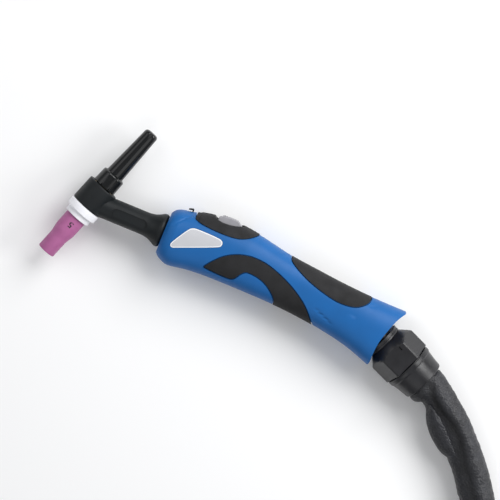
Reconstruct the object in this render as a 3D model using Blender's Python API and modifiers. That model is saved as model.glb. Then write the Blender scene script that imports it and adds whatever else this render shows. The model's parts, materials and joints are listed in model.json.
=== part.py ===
# A TIG welding torch that lies on its side, with its leather-covered hose, its cable and its plug.
#
# X runs along the neck from the head towards the cable, Y towards the trigger, and Z up from the plane
# where the two handle shells meet. Sizes are in millimetres until a point becomes a vertex.
import math

import bmesh
import bpy
from mathutils import Matrix, Vector

MM = 0.001
GAP = 0.3  # between touching pieces
TURN_STEPS = 20

# Where the model's origin lies in the torch's own frame: under the middle of the torch without its hose.
ORIGIN = (80.165, 8.828)
SIDE_FLAT = 20.8  # half the handle's width, which is how high its middle plane lies above the table

# Head
HEAD_X = -65.0  # where the head's axis crosses the neck's
HEAD_ANGLE = 70.0
BARREL_RADIUS = 13.6
BARREL_LOW, BARREL_HIGH = -5.4, 15.75
CORE_RADIUS = 9.0
NOZZLE_TIP = -55.0
NOZZLE_RADIUS, NOZZLE_MOUTH_RADIUS, NOZZLE_BORE = 9.15, 7.65, 4.0
CAP_TIP = 74.9
ELECTRODE_RADIUS = 1.2
ELECTRODE_TIP, ELECTRODE_END = -53.0, 67.0
NECK_RADIUS, NECK_TUBE_RADIUS = 9.6, 4.0
NECK_START = -55.5  # inside the barrel
SPIGOT_RADIUS = 11.0

# Handle: its side outline and half width by distance along X, and how square its section is
TOP = [(0, 16.8), (2.5, 20.0), (7, 22.2), (13, 23.3), (20, 24.8), (31, 27.2), (46, 28.6), (58, 28.6),
       (74, 27.2), (104, 21.6), (130, 18.8), (153, 16.6), (180, 14.9), (212, 13.6)]
BOTTOM = [(0, -18.0), (2.5, -20.6), (7, -23.0), (12.5, -24.3), (28, -22.0), (46, -20.8), (92, -20.9),
          (115, -21.8), (139, -24.1), (158, -27.0), (173, -30.2), (186, -34.2), (197, -38.2), (212, -45.0)]
HALF_WIDTH = [(0, 15.6), (2.5, 18.4), (7, 20.4), (13, 21.3), (60, 21.2), (86, 19.4), (115, 18.6),
              (150, 19.6), (176, 21.4), (212, 22.0)]
STATIONS = [0, 1.2, 3.2, 7, 13, 21, 31, 42, 53, 64, 76, 90, 104, 118, 132, 146, 159, 171, 182, 191, 200, 212]
SQUARENESS = 2.6
WALL = 3.0
REAR_RIM = [(211, 16), (208.8, 12.3), (205.4, 7.5), (202, 2.7), (198.4, -5), (196, -12.8), (195, -20),
            (195, -27), (196.2, -35.4), (198, -48), (230, -48), (230, 20)]

# Inlays, label and switch panel, as outlines seen from the side
ARCH = [(40.6, -14.5), (45.2, -8.0), (53.2, 0.2), (63.3, 5.7), (74, 8.2), (86, 7.6), (96, 5.0), (105, 1.6),
        (114, -2.8), (122.2, -7.8), (130, -14), (139, -26), (106, -26), (105.5, -19), (101.5, -14.1),
        (95.8, -9.7), (90, -6.8), (84, -5.2), (77, -4.8), (73.6, -5.6), (70.2, -9.4), (68, -13.4),
        (64, -15.0), (53.9, -15.4)]
REAR_GRIP = [(105.3, 30), (105.6, 18.4), (111.1, 14.4), (122.5, 8.9), (133, 5.2), (143.1, 2.7),
             (150.5, 1.2), (157.5, 0.6), (168.4, 1.8), (175.5, 6.5), (179, 11.9), (179, 30)]
BADGE = [(10.6, -9.6), (8.3, -8.4), (8.8, -5.6), (17.4, 8.6), (20.4, 11.0), (24, 11.6), (44, 11.4),
         (47.2, 9.6), (47.4, 6.8), (45.4, 4.8)]
PANEL = [(19.8, 19.8), (25, 18.2), (31, 17.2), (42, 16.6), (53, 16.9), (60, 18.2), (66, 21.2),
         (70.4, 24.6), (74, 29), (74, 36), (20.4, 36)]
BUTTON = [(36, 20.6), (36, 23), (37.9, 23.6), (38.5, 30), (40, 30.7), (47, 31.2), (52, 30.9), (56.6, 29.8),
          (57.6, 28.6), (58, 25.2), (63.4, 24.4), (63.8, 19.8), (58, 19.6)]
BUTTON_HALF_WIDTH = 6.4
PIN = (61.0, 22.0)
PIN_RADIUS = 1.0
SWITCH_X = 44.0  # where the button presses the microswitch
PLUNGER_RADIUS = 1.3
HOOK = [(15.0, 19.5), (15.0, 25.4), (12.0, 24.6), (11.6, 25.6), (15.2, 26.7), (16.1, 26.1), (16.1, 19.5)]
SCREWS = [(24, -16), (88, 17.2), (80, -13), (158, -15)]
BOSS_RADIUS, SCREW_RADIUS, SCREW_HEAD_RADIUS = 4.2, 1.5, 2.9

SWITCH_LEAD = [(57, 15, 0), (70, 14.4, 0), (88, 10, 0), (112, 7.2, 0), (135, 5.2, 0), (155, 4.2, 0), (166, 3.2, 0)]
POWER_CABLE_END = [(72.4, 0, 0), (100, 0.2, 0), (125, -1, 0), (150, -3, 0), (165, -4.6, 0), (178.5, -5.4, 0)]

# Ball joint between the handle and the hose
BALL = (180.4, -5.5)
HOSE_ANGLE = -23.0
SEAT_ANGLE = -14.5
BALL_RADIUS, SEAT_RADIUS, SOCKET_RADIUS = 16.2, 17.7, 18.0
COLLAR_RADIUS = 15.2
NUT_START, NUT_END, SLEEVE_END = 24.0, 48.2, 69.5
NUT_FACE_RADIUS, NUT_CORNER_RADIUS = 14.8, 22.3

# Hose and cable on the table. Heights here are above the table.
LEATHER_RADIUS = 14.25
LEATHER_START = 62.0  # along the ball joint's axis
LEATHER_ROUTE = [(260.5, -40.6, 19.6), (277, -49.9, 18.4), (291.5, -62.6, 16.8), (304.5, -77.6, 15.6),
                 (316.9, -96.2, 15), (332.5, -119.5, 14.7), (347.5, -149, 14.6), (361.5, -183, 14.6),
                 (374.5, -217, 14.6), (386.5, -247, 14.6)]
COIL_CENTRE = (246.1, -338.1)
COIL_START = 22.5  # direction of the coil's first point from its centre; the turns run clockwise
LEATHER_TURN_RADIUS = 164.0
LEATHER_LENGTH = 800.0
LEATHER_HEIGHT = 14.6
CABLE_RADIUS = 8.0
# How far round from the leather's end, in degrees, the cable has which radius and height
CABLE_TURNS = [(0, 164, 14.6), (12, 163.5, 13.4), (70, 134, 8.3), (380, 134, 8.3), (430, 117.4, 8.3),
               (740, 117.4, 8.3), (790, 100.8, 8.3), (1040, 100.8, 8.3), (1095, 109.1, 25.1), (1300, 109.1, 25.1)]
CABLE_OUT = 14.0  # degrees from the leather's end where the cable leaves its boot
RING_INNER, RING_OUTER, RING_HEIGHT = 92.5, 142.3, 33.4
TAIL_RADIUS = 70.0
TAIL_FROM, TAIL_TO = 88.0, 128.0
TAIL_HEIGHT = 17.9


def new_collection(name):
    collection = bpy.data.collections.new(name)
    bpy.context.scene.collection.children.link(collection)
    return collection


for leftover in list(bpy.data.objects):
    bpy.data.objects.remove(leftover)
PARTS = new_collection("tig_torch")
CUTTERS = new_collection("cutters")

FRAME = bpy.data.objects.new("torch_frame", None)
FRAME.location = (-ORIGIN[0] * MM, -ORIGIN[1] * MM, SIDE_FLAT * MM)
PARTS.objects.link(FRAME)


def material(name, colour, roughness, metallic=0.0):
    made = bpy.data.materials.new(name)
    made.use_nodes = True
    shader = made.node_tree.nodes["Principled BSDF"]
    linear = [(int(colour[i : i + 2], 16) / 255) ** 2.2 for i in (0, 2, 4)]
    shader.inputs["Base Color"].default_value = (*linear, 1.0)
    shader.inputs["Roughness"].default_value = roughness
    shader.inputs["Metallic"].default_value = metallic
    made.diffuse_color = (*linear, 1.0)
    return made


BLUE = material("blue_nylon", "2E71B6", 0.45)
GREY_RUBBER = material("grey_grip_rubber", "383636", 0.7)
BLACK_PHENOLIC = material("black_phenolic", "1E2122", 0.35)
BLACK_RUBBER = material("black_head_rubber", "242B2E", 0.5)
ALUMINA = material("pink_alumina", "BC6CA2", 0.5)
PTFE = material("white_ptfe", "F2F2F6", 0.5)
BADGE_GREY = material("pale_label", "D6D6D8", 0.4)
BUTTON_GREY = material("grey_button_nylon", "A3A2A6", 0.5)
COPPER = material("copper", "B87333", 0.3, 1.0)
BRASS = material("brass", "C9A557", 0.3, 1.0)
STEEL = material("zinc_plated_steel", "9A9CA0", 0.35, 1.0)
TUNGSTEN = material("tungsten", "7C7F85", 0.4, 1.0)
NUT_BLACK = material("black_nylon", "2A2A2D", 0.5)
LEATHER = material("black_leather", "3A3C42", 0.6)
CABLE_BLACK = material("black_cable_rubber", "232427", 0.6)
SEAT_WHITE = material("acetal", "D8D8D2", 0.5)


def add_object(name, data, look, collection=PARTS):
    made = bpy.data.objects.new(name, data)
    if look:
        data.materials.append(look)
    collection.objects.link(made)
    made.parent = FRAME
    return made


def place(obj, at, angle=0.0, height=0.0):
    """Stands the object's local Z along a direction in the XY plane, at a point of it."""
    obj.location = (at[0] * MM, at[1] * MM, height * MM)
    obj.rotation_euler = (0.0, math.pi / 2, math.radians(angle))
    return obj


def as_cutter(obj):
    for collection in list(obj.users_collection):
        collection.objects.unlink(obj)
    CUTTERS.objects.link(obj)
    obj.hide_render = True
    obj.display_type = "WIRE"
    return obj


def boolean(obj, other, operation):
    modifier = obj.modifiers.new(f"{operation.lower()} {other.name}", "BOOLEAN")
    modifier.operation = operation
    modifier.solver = "MANIFOLD"  # EXACT leaves open edges where bosses and pockets share planes
    modifier.object = other


def cut(obj, *cutters):
    for cutter in cutters:
        boolean(obj, cutter, "DIFFERENCE")
    return obj


def join(obj, *others):
    for other in others:
        boolean(obj, as_cutter(other), "UNION")
    return obj


def mesh_from(name, form):
    bmesh.ops.recalc_face_normals(form, faces=form.faces)
    mesh = bpy.data.meshes.new(name)
    form.to_mesh(mesh)
    form.free()
    return mesh


def turned(name, profile, look, steps=TURN_STEPS):
    """A body of revolution about local Z. The profile's (radius, z) points run down its outer side."""
    mesh = bpy.data.meshes.new(name)
    points = [(radius * MM, 0.0, z * MM) for radius, z in profile]
    closed = min(radius for radius, _ in profile) > 0
    edges = [(i, i + 1) for i in range(len(points) - 1)]
    if closed:
        edges.append((len(points) - 1, 0))
    mesh.from_pydata(points, edges, [])
    made = add_object(name, mesh, look)
    screw = made.modifiers.new("turn", "SCREW")
    screw.steps = screw.render_steps = steps
    screw.use_merge_vertices = True
    screw.merge_threshold = 0.00001
    screw.use_smooth_shade = True
    return made


def rod(name, radius, low, high, look, steps=TURN_STEPS):
    return turned(name, [(0, high), (radius, high), (radius, low), (0, low)], look, steps)


def upright(obj, at):
    """Places a turned body at a point of the XY plane with its local Z kept along Z."""
    obj.location = (at[0] * MM, at[1] * MM, 0.0)
    return obj


def prism(name, outline, low, high, look=None):
    """The outline in the XY plane, extruded along Z."""
    form = bmesh.new()
    face = form.faces.new([form.verts.new((x * MM, y * MM, low * MM)) for x, y in outline])
    moved = bmesh.ops.extrude_face_region(form, geom=[face])["geom"]
    top = [item for item in moved if isinstance(item, bmesh.types.BMVert)]
    bmesh.ops.translate(form, verts=top, vec=(0, 0, (high - low) * MM))
    return add_object(name, mesh_from(name, form), look)


def loft(name, rings, look=None):
    form = bmesh.new()
    rows = [[form.verts.new(point * MM) for point in ring] for ring in rings]
    for near, far in zip(rows, rows[1:]):
        for i in range(len(near)):
            j = (i + 1) % len(near)
            form.faces.new((near[i], near[j], far[j], far[i]))
    form.faces.new(rows[0])
    form.faces.new(rows[-1])
    return add_object(name, mesh_from(name, form), look)


def smooth(points, x):
    """A smooth curve through (x, value) points."""
    last = len(points) - 1
    x = min(max(x, points[0][0]), points[last][0])
    i = next(k for k in range(last) if x <= points[k + 1][0])

    def slope(k):
        before, after = points[max(k - 1, 0)], points[min(k + 1, last)]
        return (after[1] - before[1]) / (after[0] - before[0])

    (x0, y0), (x1, y1) = points[i], points[i + 1]
    span = x1 - x0
    t = (x - x0) / span
    return (
        (2 * t**3 - 3 * t**2 + 1) * y0
        + (t**3 - 2 * t**2 + t) * span * slope(i)
        + (3 * t**2 - 2 * t**3) * y1
        + (t**3 - t**2) * span * slope(i + 1)
    )


def handle_point(x, degrees, offset):
    """A point of the handle's surface, moved out by the offset. 90 degrees is the trigger side, 0 is +Z."""
    top = smooth(TOP, x) + offset
    bottom = smooth(BOTTOM, x) - offset
    across, up = math.cos(math.radians(degrees)), math.sin(math.radians(degrees))
    power = 2 / SQUARENESS
    y = (top + bottom) / 2 + math.copysign(abs(up) ** power, up) * (top - bottom) / 2
    z = math.copysign(abs(across) ** power, across) * (smooth(HALF_WIDTH, x) + offset)
    flat = SIDE_FLAT + offset
    return Vector((x, y, min(max(z, -flat), flat)))


def half_arc(x, offset, side, count=12):
    points = []
    for i in range(count + 1):
        point = handle_point(x, -90 + 180 * i / count, offset)
        point.z = side * max(point.z, GAP / 2)
        points.append(point)
    return points


def half_handle(name, side, look):
    return loft(name, [half_arc(x, 0, side) for x in STATIONS], look)


def skin(name, side, low, high, first, last, look=None):
    """A layer of one side of the handle, between two depths from its surface."""
    rows = [x for x in STATIONS if first <= x <= last]
    return loft(name, [half_arc(x, high, side) + half_arc(x, low, side)[::-1] for x in rows], look)


def core(name, offset, first, last, count=20):
    """The whole handle's section, shrunk by the offset, between two places along it."""
    rows = [first] + [x for x in STATIONS if first < x < last] + [last]
    return loft(name, [[handle_point(x, 360 * i / count, offset) for i in range(count)] for x in rows])


def grown(outline, by):
    """The outline moved out by a distance, for the pocket that a piece sits in."""
    count = len(outline)
    area = sum(outline[i - 1][0] * outline[i][1] - outline[i][0] * outline[i - 1][1] for i in range(count))
    turn = 1 if area > 0 else -1
    moved = []
    for i in range(count):
        here = Vector(outline[i])
        before = (here - Vector(outline[i - 1])).normalized()
        after = (Vector(outline[(i + 1) % count]) - here).normalized()
        normal = Vector((before.y + after.y, -before.x - after.x)) * turn
        normal.normalize()
        stretch = max(normal.dot(Vector((before.y, -before.x)) * turn), 0.4)
        moved.append(tuple(here + normal * by / stretch))
    return moved


def on_skin(name, outline, side, low, high, first, last, look=None):
    made = skin(name, side, low, high, first, last, look)
    boolean(made, as_cutter(prism(f"{name}_outline", outline, -40, 40)), "INTERSECT")
    return made


def route(points, step):
    """Points about a step apart along a smooth curve through the given ones."""
    points = [Vector(point) for point in points]
    reached = [0.0]
    for before, after in zip(points, points[1:]):
        reached.append(reached[-1] + (after - before).length)
    count = max(2, round(reached[-1] / step))
    places = [reached[-1] * i / count for i in range(count + 1)]
    rows = [[(far, point[axis]) for far, point in zip(reached, points)] for axis in range(3)]
    return [Vector([smooth(row, far) for row in rows]) for far in places]


def tube(name, points, radius, look, resolution=2, radii=None):
    curve = bpy.data.curves.new(name, "CURVE")
    curve.dimensions = "3D"
    curve.bevel_depth = radius * MM
    curve.bevel_resolution = resolution
    curve.use_fill_caps = True
    spline = curve.splines.new("POLY")
    spline.points.add(len(points) - 1)
    for i, point in enumerate(points):
        spline.points[i].co = (*(point * MM), 1)
        spline.points[i].radius = radii[i] / radius if radii else 1
    return add_object(name, curve, look)


# Head, along its own axis: z is the distance from the neck's axis towards the back cap.
def on_head(obj):
    return place(obj, (HEAD_X, 0), HEAD_ANGLE)


def make_head():
    on_head(turned("ceramic_nozzle", [
        (NOZZLE_RADIUS, -8.3), (NOZZLE_RADIUS, -31), (NOZZLE_MOUTH_RADIUS, -39.5),
        (NOZZLE_MOUTH_RADIUS, NOZZLE_TIP), (NOZZLE_BORE, NOZZLE_TIP), (NOZZLE_BORE, -38), (6.7, -31),
        (6.7, -8.3)], ALUMINA))
    on_head(turned("heat_shield", [
        (13.85, -5.7), (13.85, -12.2), (11.3, -12.2), (11.3, -17.2), (9.5, -17.2), (9.5, -8.0),
        (6.8, -8.0), (6.8, -5.7)], PTFE))
    on_head(turned("collet_body", [
        (4.9, 4), (4.9, -5.5), (6.3, -5.5), (6.3, -16), (5.4, -17.5), (5.4, -25.5), (3.2, -28.5),
        (1.55, -28.5), (1.55, -27.4), (2.5, -27), (2.5, 4)], BRASS, 16))
    on_head(turned("collet", [(2.2, 22), (2.2, -26.6), (1.5, -26.6), (1.5, 22)], COPPER, 16))
    on_head(turned("tungsten_electrode", [
        (0, ELECTRODE_END), (ELECTRODE_RADIUS, ELECTRODE_END), (ELECTRODE_RADIUS, ELECTRODE_TIP + 5),
        (0.15, ELECTRODE_TIP), (0, ELECTRODE_TIP)], TUNGSTEN, 12))
    on_head(turned("head_core", [
        (CORE_RADIUS, 15.4), (CORE_RADIUS, -5.2), (5.2, -5.2), (5.2, 4.6), (6.6, 5.4), (6.6, 15.4)], BRASS))
    on_head(turned("back_cap", [
        (0, CAP_TIP), (4.6, CAP_TIP), (5.75, CAP_TIP - 0.6), (6.05, CAP_TIP - 1.9), (7.65, 29.4),
        (9.6, 28.6), (10.1, 27.6), (10.4, 16.3), (8.9, 16.3), (8.9, 18.3), (6.2, 18.3), (6.2, 6.5),
        (2.6, 6.5), (2.6, 70.5), (0, 70.5)], BLACK_PHENOLIC))
    on_head(turned("back_cap_seal", [
        (8.0, 18.0), (8.5, 17.4), (8.5, 16.3), (8.0, 15.75), (7.1, 15.75), (6.6, 16.3), (6.6, 17.4),
        (7.1, 18.0)], BLACK_RUBBER, 16))

    cover = turned("head_cover", [
        (0, 14), (SPIGOT_RADIUS, 14), (SPIGOT_RADIUS, -0.3), (13.1, -0.3), (14.1, -2), (14.1, -4.4),
        (12.2, -7), (10.6, -9.6), (NECK_RADIUS, -13), (NECK_RADIUS, NECK_START), (0, NECK_START)], BLACK_RUBBER, 28)
    place(cover, (0, 0))
    barrel = on_head(rod("head_barrel", BARREL_RADIUS, BARREL_LOW, BARREL_HIGH, None, 28))
    join(cover, barrel)
    bore = on_head(rod("head_bore", CORE_RADIUS + GAP, BARREL_LOW - 5, BARREL_HIGH + 5, None))
    passage = place(rod("neck_bore", NECK_TUBE_RADIUS + GAP, HEAD_X + 3.7, 20, None, 16), (0, 0))
    cut(cover, as_cutter(bore), as_cutter(passage))
    mark = [(-30 + 11.4 * c, -0.9) for c in (-1, 1)]
    for side in (-1, 1):
        outline = []
        for (x, y), start in zip(mark, (90, -90)):
            for i in range(7):
                turn = math.radians(start + 180 * i / 6)
                outline.append((x + 3.6 * math.cos(turn), y + 3.6 * math.sin(turn)))
        low, high = sorted((side * 8.5, side * 13))
        cut(cover, as_cutter(prism(f"neck_recess_{side + 1}", outline, low, high)))
    place(turned("neck_tube", [
        (NECK_TUBE_RADIUS, 38), (NECK_TUBE_RADIUS, -53.4), (2.6, -53.4), (2.6, 38)], COPPER, 16), (0, 0))


def boss_cutters(x, y):
    """The screw's counterbore and clearance hole in the lower shell, and its pilot hole in the upper one."""
    head = as_cutter(upright(rod(f"counterbore_{x}_{y}", SCREW_HEAD_RADIUS + 0.4, -30, -9, None, 12), (x, y)))
    hole = as_cutter(upright(rod(f"screw_hole_{x}_{y}", SCREW_RADIUS + GAP, -12, 13, None, 12), (x, y)))
    return head, hole


def make_handle():
    sides = (("left", 1), ("right", -1))
    shells = {name: half_handle(f"shell_{name}", side, BLUE) for name, side in sides}
    cavity = as_cutter(core("cavity", -WALL, WALL, 164))
    ball = add_object("socket", bpy.data.meshes.new("socket"), None)
    form = bmesh.new()
    bmesh.ops.create_uvsphere(form, u_segments=22, v_segments=14, radius=SOCKET_RADIUS * MM * 1.01)
    form.to_mesh(ball.data)
    form.free()
    ball.location = (BALL[0] * MM, BALL[1] * MM, 0)
    mouth = as_cutter(place(rod("front_mouth", SPIGOT_RADIUS + GAP, -5, 10, None, 20), (0, 0)))
    passage = as_cutter(place(rod("cable_passage", 10.5, 155, 180, None, 20), (0, -3)))
    exit_cut = as_cutter(core("exit", -2.3, 189.5, 212))
    rim = as_cutter(prism("rear_rim", REAR_RIM, -40, 40))
    slot = as_cutter(prism("button_slot", [(34.5, 14), (66, 14), (66, 40), (34.5, 40)], -9.6, 9.6))
    hook_slot = as_cutter(prism("hook_slot", [(14.7, 18), (16.4, 18), (16.4, 30), (14.7, 30)], -2.8, 2.8))
    as_cutter(ball)
    bosses = {name: [] for name, _ in sides}
    for name, side in sides:
        low, high = sorted((side * GAP / 2, side * 18.0))
        for x, y in SCREWS:
            bosses[name].append(upright(rod(f"boss_{name}_{x}_{y}", BOSS_RADIUS, low, high, None), (x, y)))
        cut(shells[name], cavity)
        join(shells[name], *bosses[name])
        cut(shells[name], ball, mouth, passage, exit_cut, rim, slot, hook_slot)
    for number, (x, y) in enumerate(SCREWS, 1):
        head, hole = boss_cutters(x, y)
        cut(shells["right"], head, hole)
        cut(shells["left"], hole)
        screw = turned(f"handle_screw_{number}", [
            (0, 12), (SCREW_RADIUS, 12), (SCREW_RADIUS, -9.3),
            (SCREW_HEAD_RADIUS, -9.3), (SCREW_HEAD_RADIUS, -11.6), (0, -11.6)], STEEL, 12)
        upright(screw, (x, y))

    for name, side in sides:
        pieces = (("arch_grip", ARCH, 1.2, 0.0, 31, 146, GREY_RUBBER),
                  ("rear_grip", REAR_GRIP, 1.2, 0.0, 90, 182, GREY_RUBBER),
                  ("badge", BADGE, 0.8, -0.1, 3.2, 53, BADGE_GREY))
        for piece, outline, depth, height, first, last, look in pieces:
            on_skin(f"{piece}_{name}", outline, side, -depth, height, first, last, look)
            pocket = on_skin(f"{piece}_pocket_{name}", grown(outline, GAP), side, -depth - GAP, 4,
                             first, last)
            cut(shells[name], as_cutter(pocket))
    return shells


def panel_ring(x, low, high, count=14):
    outer = [handle_point(x, 8 + 164 * i / count, high) for i in range(count + 1)]
    inner = [handle_point(x, 8 + 164 * i / count, low) for i in range(count + 1)]
    return outer + inner[::-1]


def towards_button(obj):
    """Stands a turned body over the microswitch, with its local Z along Y."""
    obj.rotation_euler = (-math.pi / 2, 0, 0)
    obj.location = (SWITCH_X * MM, 0, 0)
    return obj


def make_switch(shells):
    rows = [x for x in STATIONS if 13 <= x <= 90]
    panel = loft("switch_panel", [panel_ring(x, -1.3, 0.6) for x in rows], GREY_RUBBER)
    boolean(panel, as_cutter(prism("panel_outline", PANEL, -40, 40)), "INTERSECT")
    window = as_cutter(prism("button_window", [(36.7, 10), (58.6, 10), (58.6, 40), (36.7, 40)], -6.9, 6.9))
    cut(panel, window)
    pocket = loft("panel_pocket", [panel_ring(x, -1.6, 5) for x in rows])
    boolean(pocket, as_cutter(prism("pocket_outline", grown(PANEL, GAP), -40, 40)), "INTERSECT")
    as_cutter(pocket)
    for shell in shells.values():
        cut(shell, pocket)

    button = prism("trigger_button", BUTTON, -BUTTON_HALF_WIDTH, BUTTON_HALF_WIDTH, BUTTON_GREY)
    pin_hole = as_cutter(upright(rod("pin_hole", PIN_RADIUS + GAP, -12, 12, None), PIN))
    cut(button, pin_hole)
    upright(rod("trigger_pin", PIN_RADIUS, -8.8, 8.8, STEEL), PIN)
    prism("latch_hook", HOOK, -2.4, 2.4, STEEL)

    bracket = prism("switch_bracket", [(40, 10.4), (65, 10.4), (65, 12), (40, 12)], -9, 9, STEEL)
    cheek = [(57, 11), (65, 11), (65, 23.4), (63, 24.4), (59, 24.4), (57, 23.4)]
    for side in (-1, 1):
        low, high = sorted((side * 7, side * 9))
        join(bracket, prism(f"cheek_{side + 1}", cheek, low, high))
    cut(bracket, pin_hole)
    switch = prism("micro_switch", [(40.5, 12.3), (56, 12.3), (56, 18.2), (40.5, 18.2)], -5, 5, BLACK_PHENOLIC)
    towards_button(rod("switch_plunger", PLUNGER_RADIUS, 18.5, 20.1, BUTTON_GREY, 12))
    guide = towards_button(rod("plunger_guide", PLUNGER_RADIUS + GAP, 16.4, 21, None, 12))
    cut(switch, as_cutter(guide))
    tube("switch_lead", route(SWITCH_LEAD, 9), 1.5, CABLE_BLACK)


def make_inside():
    place(turned("cable_coupling", [
        (5.6, 72), (5.6, 46), (8.0, 45), (8.0, 31), (NECK_TUBE_RADIUS + GAP, 31),
        (NECK_TUBE_RADIUS + GAP, 39), (2.6, 39), (2.6, 72)], BRASS, 12), (0, 0))
    place(turned("coupling_sleeve", [(9.6, 73), (9.6, 28), (8.4, 28), (8.4, 73)], BLACK_RUBBER, 16), (0, 0))
    tube("power_cable_end", route(POWER_CABLE_END, 14), 5.3, CABLE_BLACK, 3)


# Ball joint and hose clamp: z is the distance from the ball's middle along the hose's axis.
def arc_profile(radius, first, last, count):
    """(radius, z) points of a sphere, by angle from local Z."""
    turns = [math.radians(first + (last - first) * i / count) for i in range(count + 1)]
    return [(radius * math.sin(turn), radius * math.cos(turn)) for turn in turns]


def make_joint():
    ball = [(6.8, 36), (10.6, 36), (10.6, NUT_START - GAP), (COLLAR_RADIUS, NUT_START - GAP),
            (COLLAR_RADIUS, 19.5), (9, 19.5)]
    ball += arc_profile(BALL_RADIUS, 34, 132, 7) + [(6.8, -1)]
    place(turned("joint_ball", ball, NUT_BLACK, 24), BALL, HOSE_ANGLE)
    seat = arc_profile(SEAT_RADIUS, 62, 128, 4) + arc_profile(BALL_RADIUS + GAP, 128, 62, 4)
    place(turned("ball_seat", seat, SEAT_WHITE, 24), BALL, SEAT_ANGLE)

    form = bmesh.new()
    bmesh.ops.create_cone(form, cap_ends=True, segments=6, radius1=NUT_CORNER_RADIUS * MM,
                          radius2=NUT_CORNER_RADIUS * MM, depth=(NUT_END - NUT_START) * MM)
    bmesh.ops.translate(form, verts=form.verts, vec=(0, 0, (NUT_START + NUT_END) / 2 * MM))
    nut = add_object("joint_nut", mesh_from("joint_nut", form), NUT_BLACK)
    place(nut, BALL, HOSE_ANGLE)
    chamfer = rod("nut_chamfer", 1, 0, 1, None)
    chamfer.data.clear_geometry()
    envelope = [(0, NUT_END + 1), (NUT_CORNER_RADIUS - 0.4, NUT_END + 1), (NUT_CORNER_RADIUS + 0.2, NUT_END - 2),
                (NUT_CORNER_RADIUS + 0.2, NUT_START + 8.6), (NUT_FACE_RADIUS, NUT_START - 0.05),
                (0, NUT_START - 0.05)]
    chamfer.data.from_pydata([(r * MM, 0, z * MM) for r, z in envelope],
                             [(i, i + 1) for i in range(len(envelope) - 1)], [])
    boolean(nut, as_cutter(place(chamfer, BALL, HOSE_ANGLE)), "INTERSECT")
    thread = as_cutter(place(rod("nut_thread", 10.9, NUT_START - 5, NUT_END + 5, None, 20), BALL, HOSE_ANGLE))
    hollow = as_cutter(place(rod("nut_hollow", 15.5, 36.5, NUT_END + 5, None, 20), BALL, HOSE_ANGLE))
    cut(nut, thread, hollow)
    place(turned("hose_clamp", [
        (15.2, SLEEVE_END), (17.8, SLEEVE_END), (18.3, SLEEVE_END - 0.8), (20.1, NUT_END + 5.2),
        (20.7, NUT_END + 3.6), (20.7, NUT_END + 1.6), (20.1, NUT_END + GAP), (15.2, NUT_END + GAP)],
        NUT_BLACK, 24), BALL, HOSE_ANGLE)


def on_table(x, y, height):
    return Vector((x, y, height - SIDE_FLAT))


def on_coil(degrees, radius, height):
    """A point of the coil, by how far round it lies, clockwise from the coil's first point."""
    turn = math.radians(COIL_START - degrees)
    return on_table(
        COIL_CENTRE[0] + radius * math.cos(turn), COIL_CENTRE[1] + radius * math.sin(turn), height
    )


def length_of(points):
    return sum((after - before).length for before, after in zip(points, points[1:]))


def make_leather():
    """The leather cover, and how far round the coil it ends."""
    turn = math.radians(HOSE_ANGLE)
    start = (BALL[0] + LEATHER_START * math.cos(turn), BALL[1] + LEATHER_START * math.sin(turn), 0)
    laid = [Vector(start)] + [on_table(*point) for point in LEATHER_ROUTE]
    straight = route(laid + [on_coil(0, LEATHER_TURN_RADIUS, LEATHER_HEIGHT)], 30)
    end = math.degrees((LEATHER_LENGTH - length_of(straight)) / LEATHER_TURN_RADIUS)
    count = round(end / 11)
    turns = [on_coil(end * i / count, LEATHER_TURN_RADIUS, LEATHER_HEIGHT) for i in range(1, count + 1)]
    tube("leather_cover", straight + turns, LEATHER_RADIUS, LEATHER, 3)
    return end


def cable_point(degrees, leather_end):
    radius = smooth([(turn, radius) for turn, radius, _ in CABLE_TURNS], degrees)
    height = smooth([(turn, height) for turn, _, height in CABLE_TURNS], degrees)
    return on_coil(leather_end + degrees, radius, height)


def make_cable(leather_end):
    count = 5
    first = 1.0  # degrees past the leather's end face, which is cut square to its last straight run
    boot = [cable_point(first + (CABLE_OUT - first) * i / count, leather_end) for i in range(count + 1)]
    tube("leather_end_boot", boot, 14.4, CABLE_BLACK, 3, [14.4, 14.4, 13.4, 11.8, 10.2, 9.2])
    middle = on_table(*COIL_CENTRE, 0)
    lead = []
    degrees = CABLE_OUT + 0.5
    while True:
        point = cable_point(degrees, leather_end)
        if math.hypot(point.x - middle.x, point.y - middle.y) < RING_OUTER + CABLE_RADIUS + 2 * GAP:
            break
        lead.append(point)
        degrees += 4
    tube("cable_lead_in", lead, CABLE_RADIUS, CABLE_BLACK, 3)
    coil = turned("cable_coil", [
        (RING_OUTER - 2, RING_HEIGHT), (RING_OUTER, RING_HEIGHT - 4), (RING_OUTER, 2.5),
        (RING_OUTER - 2, 0.2), (RING_INNER + 2, 0.2), (RING_INNER, 2.5), (RING_INNER, RING_HEIGHT - 4),
        (RING_INNER + 2, RING_HEIGHT)], CABLE_BLACK, 48)
    coil.location = middle * MM

    last, radius, height = CABLE_TURNS[-1]
    turn = math.radians(COIL_START - leather_end - last)
    out, along = Vector((math.cos(turn), math.sin(turn), 0)), Vector((math.sin(turn), -math.cos(turn), 0))
    tail = []
    for degrees in range(int(TAIL_FROM), int(TAIL_TO) + 1, 10):
        angle = math.radians(degrees)
        fall = min(max((degrees - 30) / (TAIL_TO - 30), 0), 1)
        point = middle + out * (radius - TAIL_RADIUS + TAIL_RADIUS * math.cos(angle))
        point += along * TAIL_RADIUS * math.sin(angle)
        point.z += height + (TAIL_HEIGHT - height) * fall * fall * (3 - 2 * fall)
        tail.append(point)
    tube("cable_tail", tail, CABLE_RADIUS, CABLE_BLACK, 3)
    return tail[-1], (tail[-1] - tail[-2]).normalized()


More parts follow.
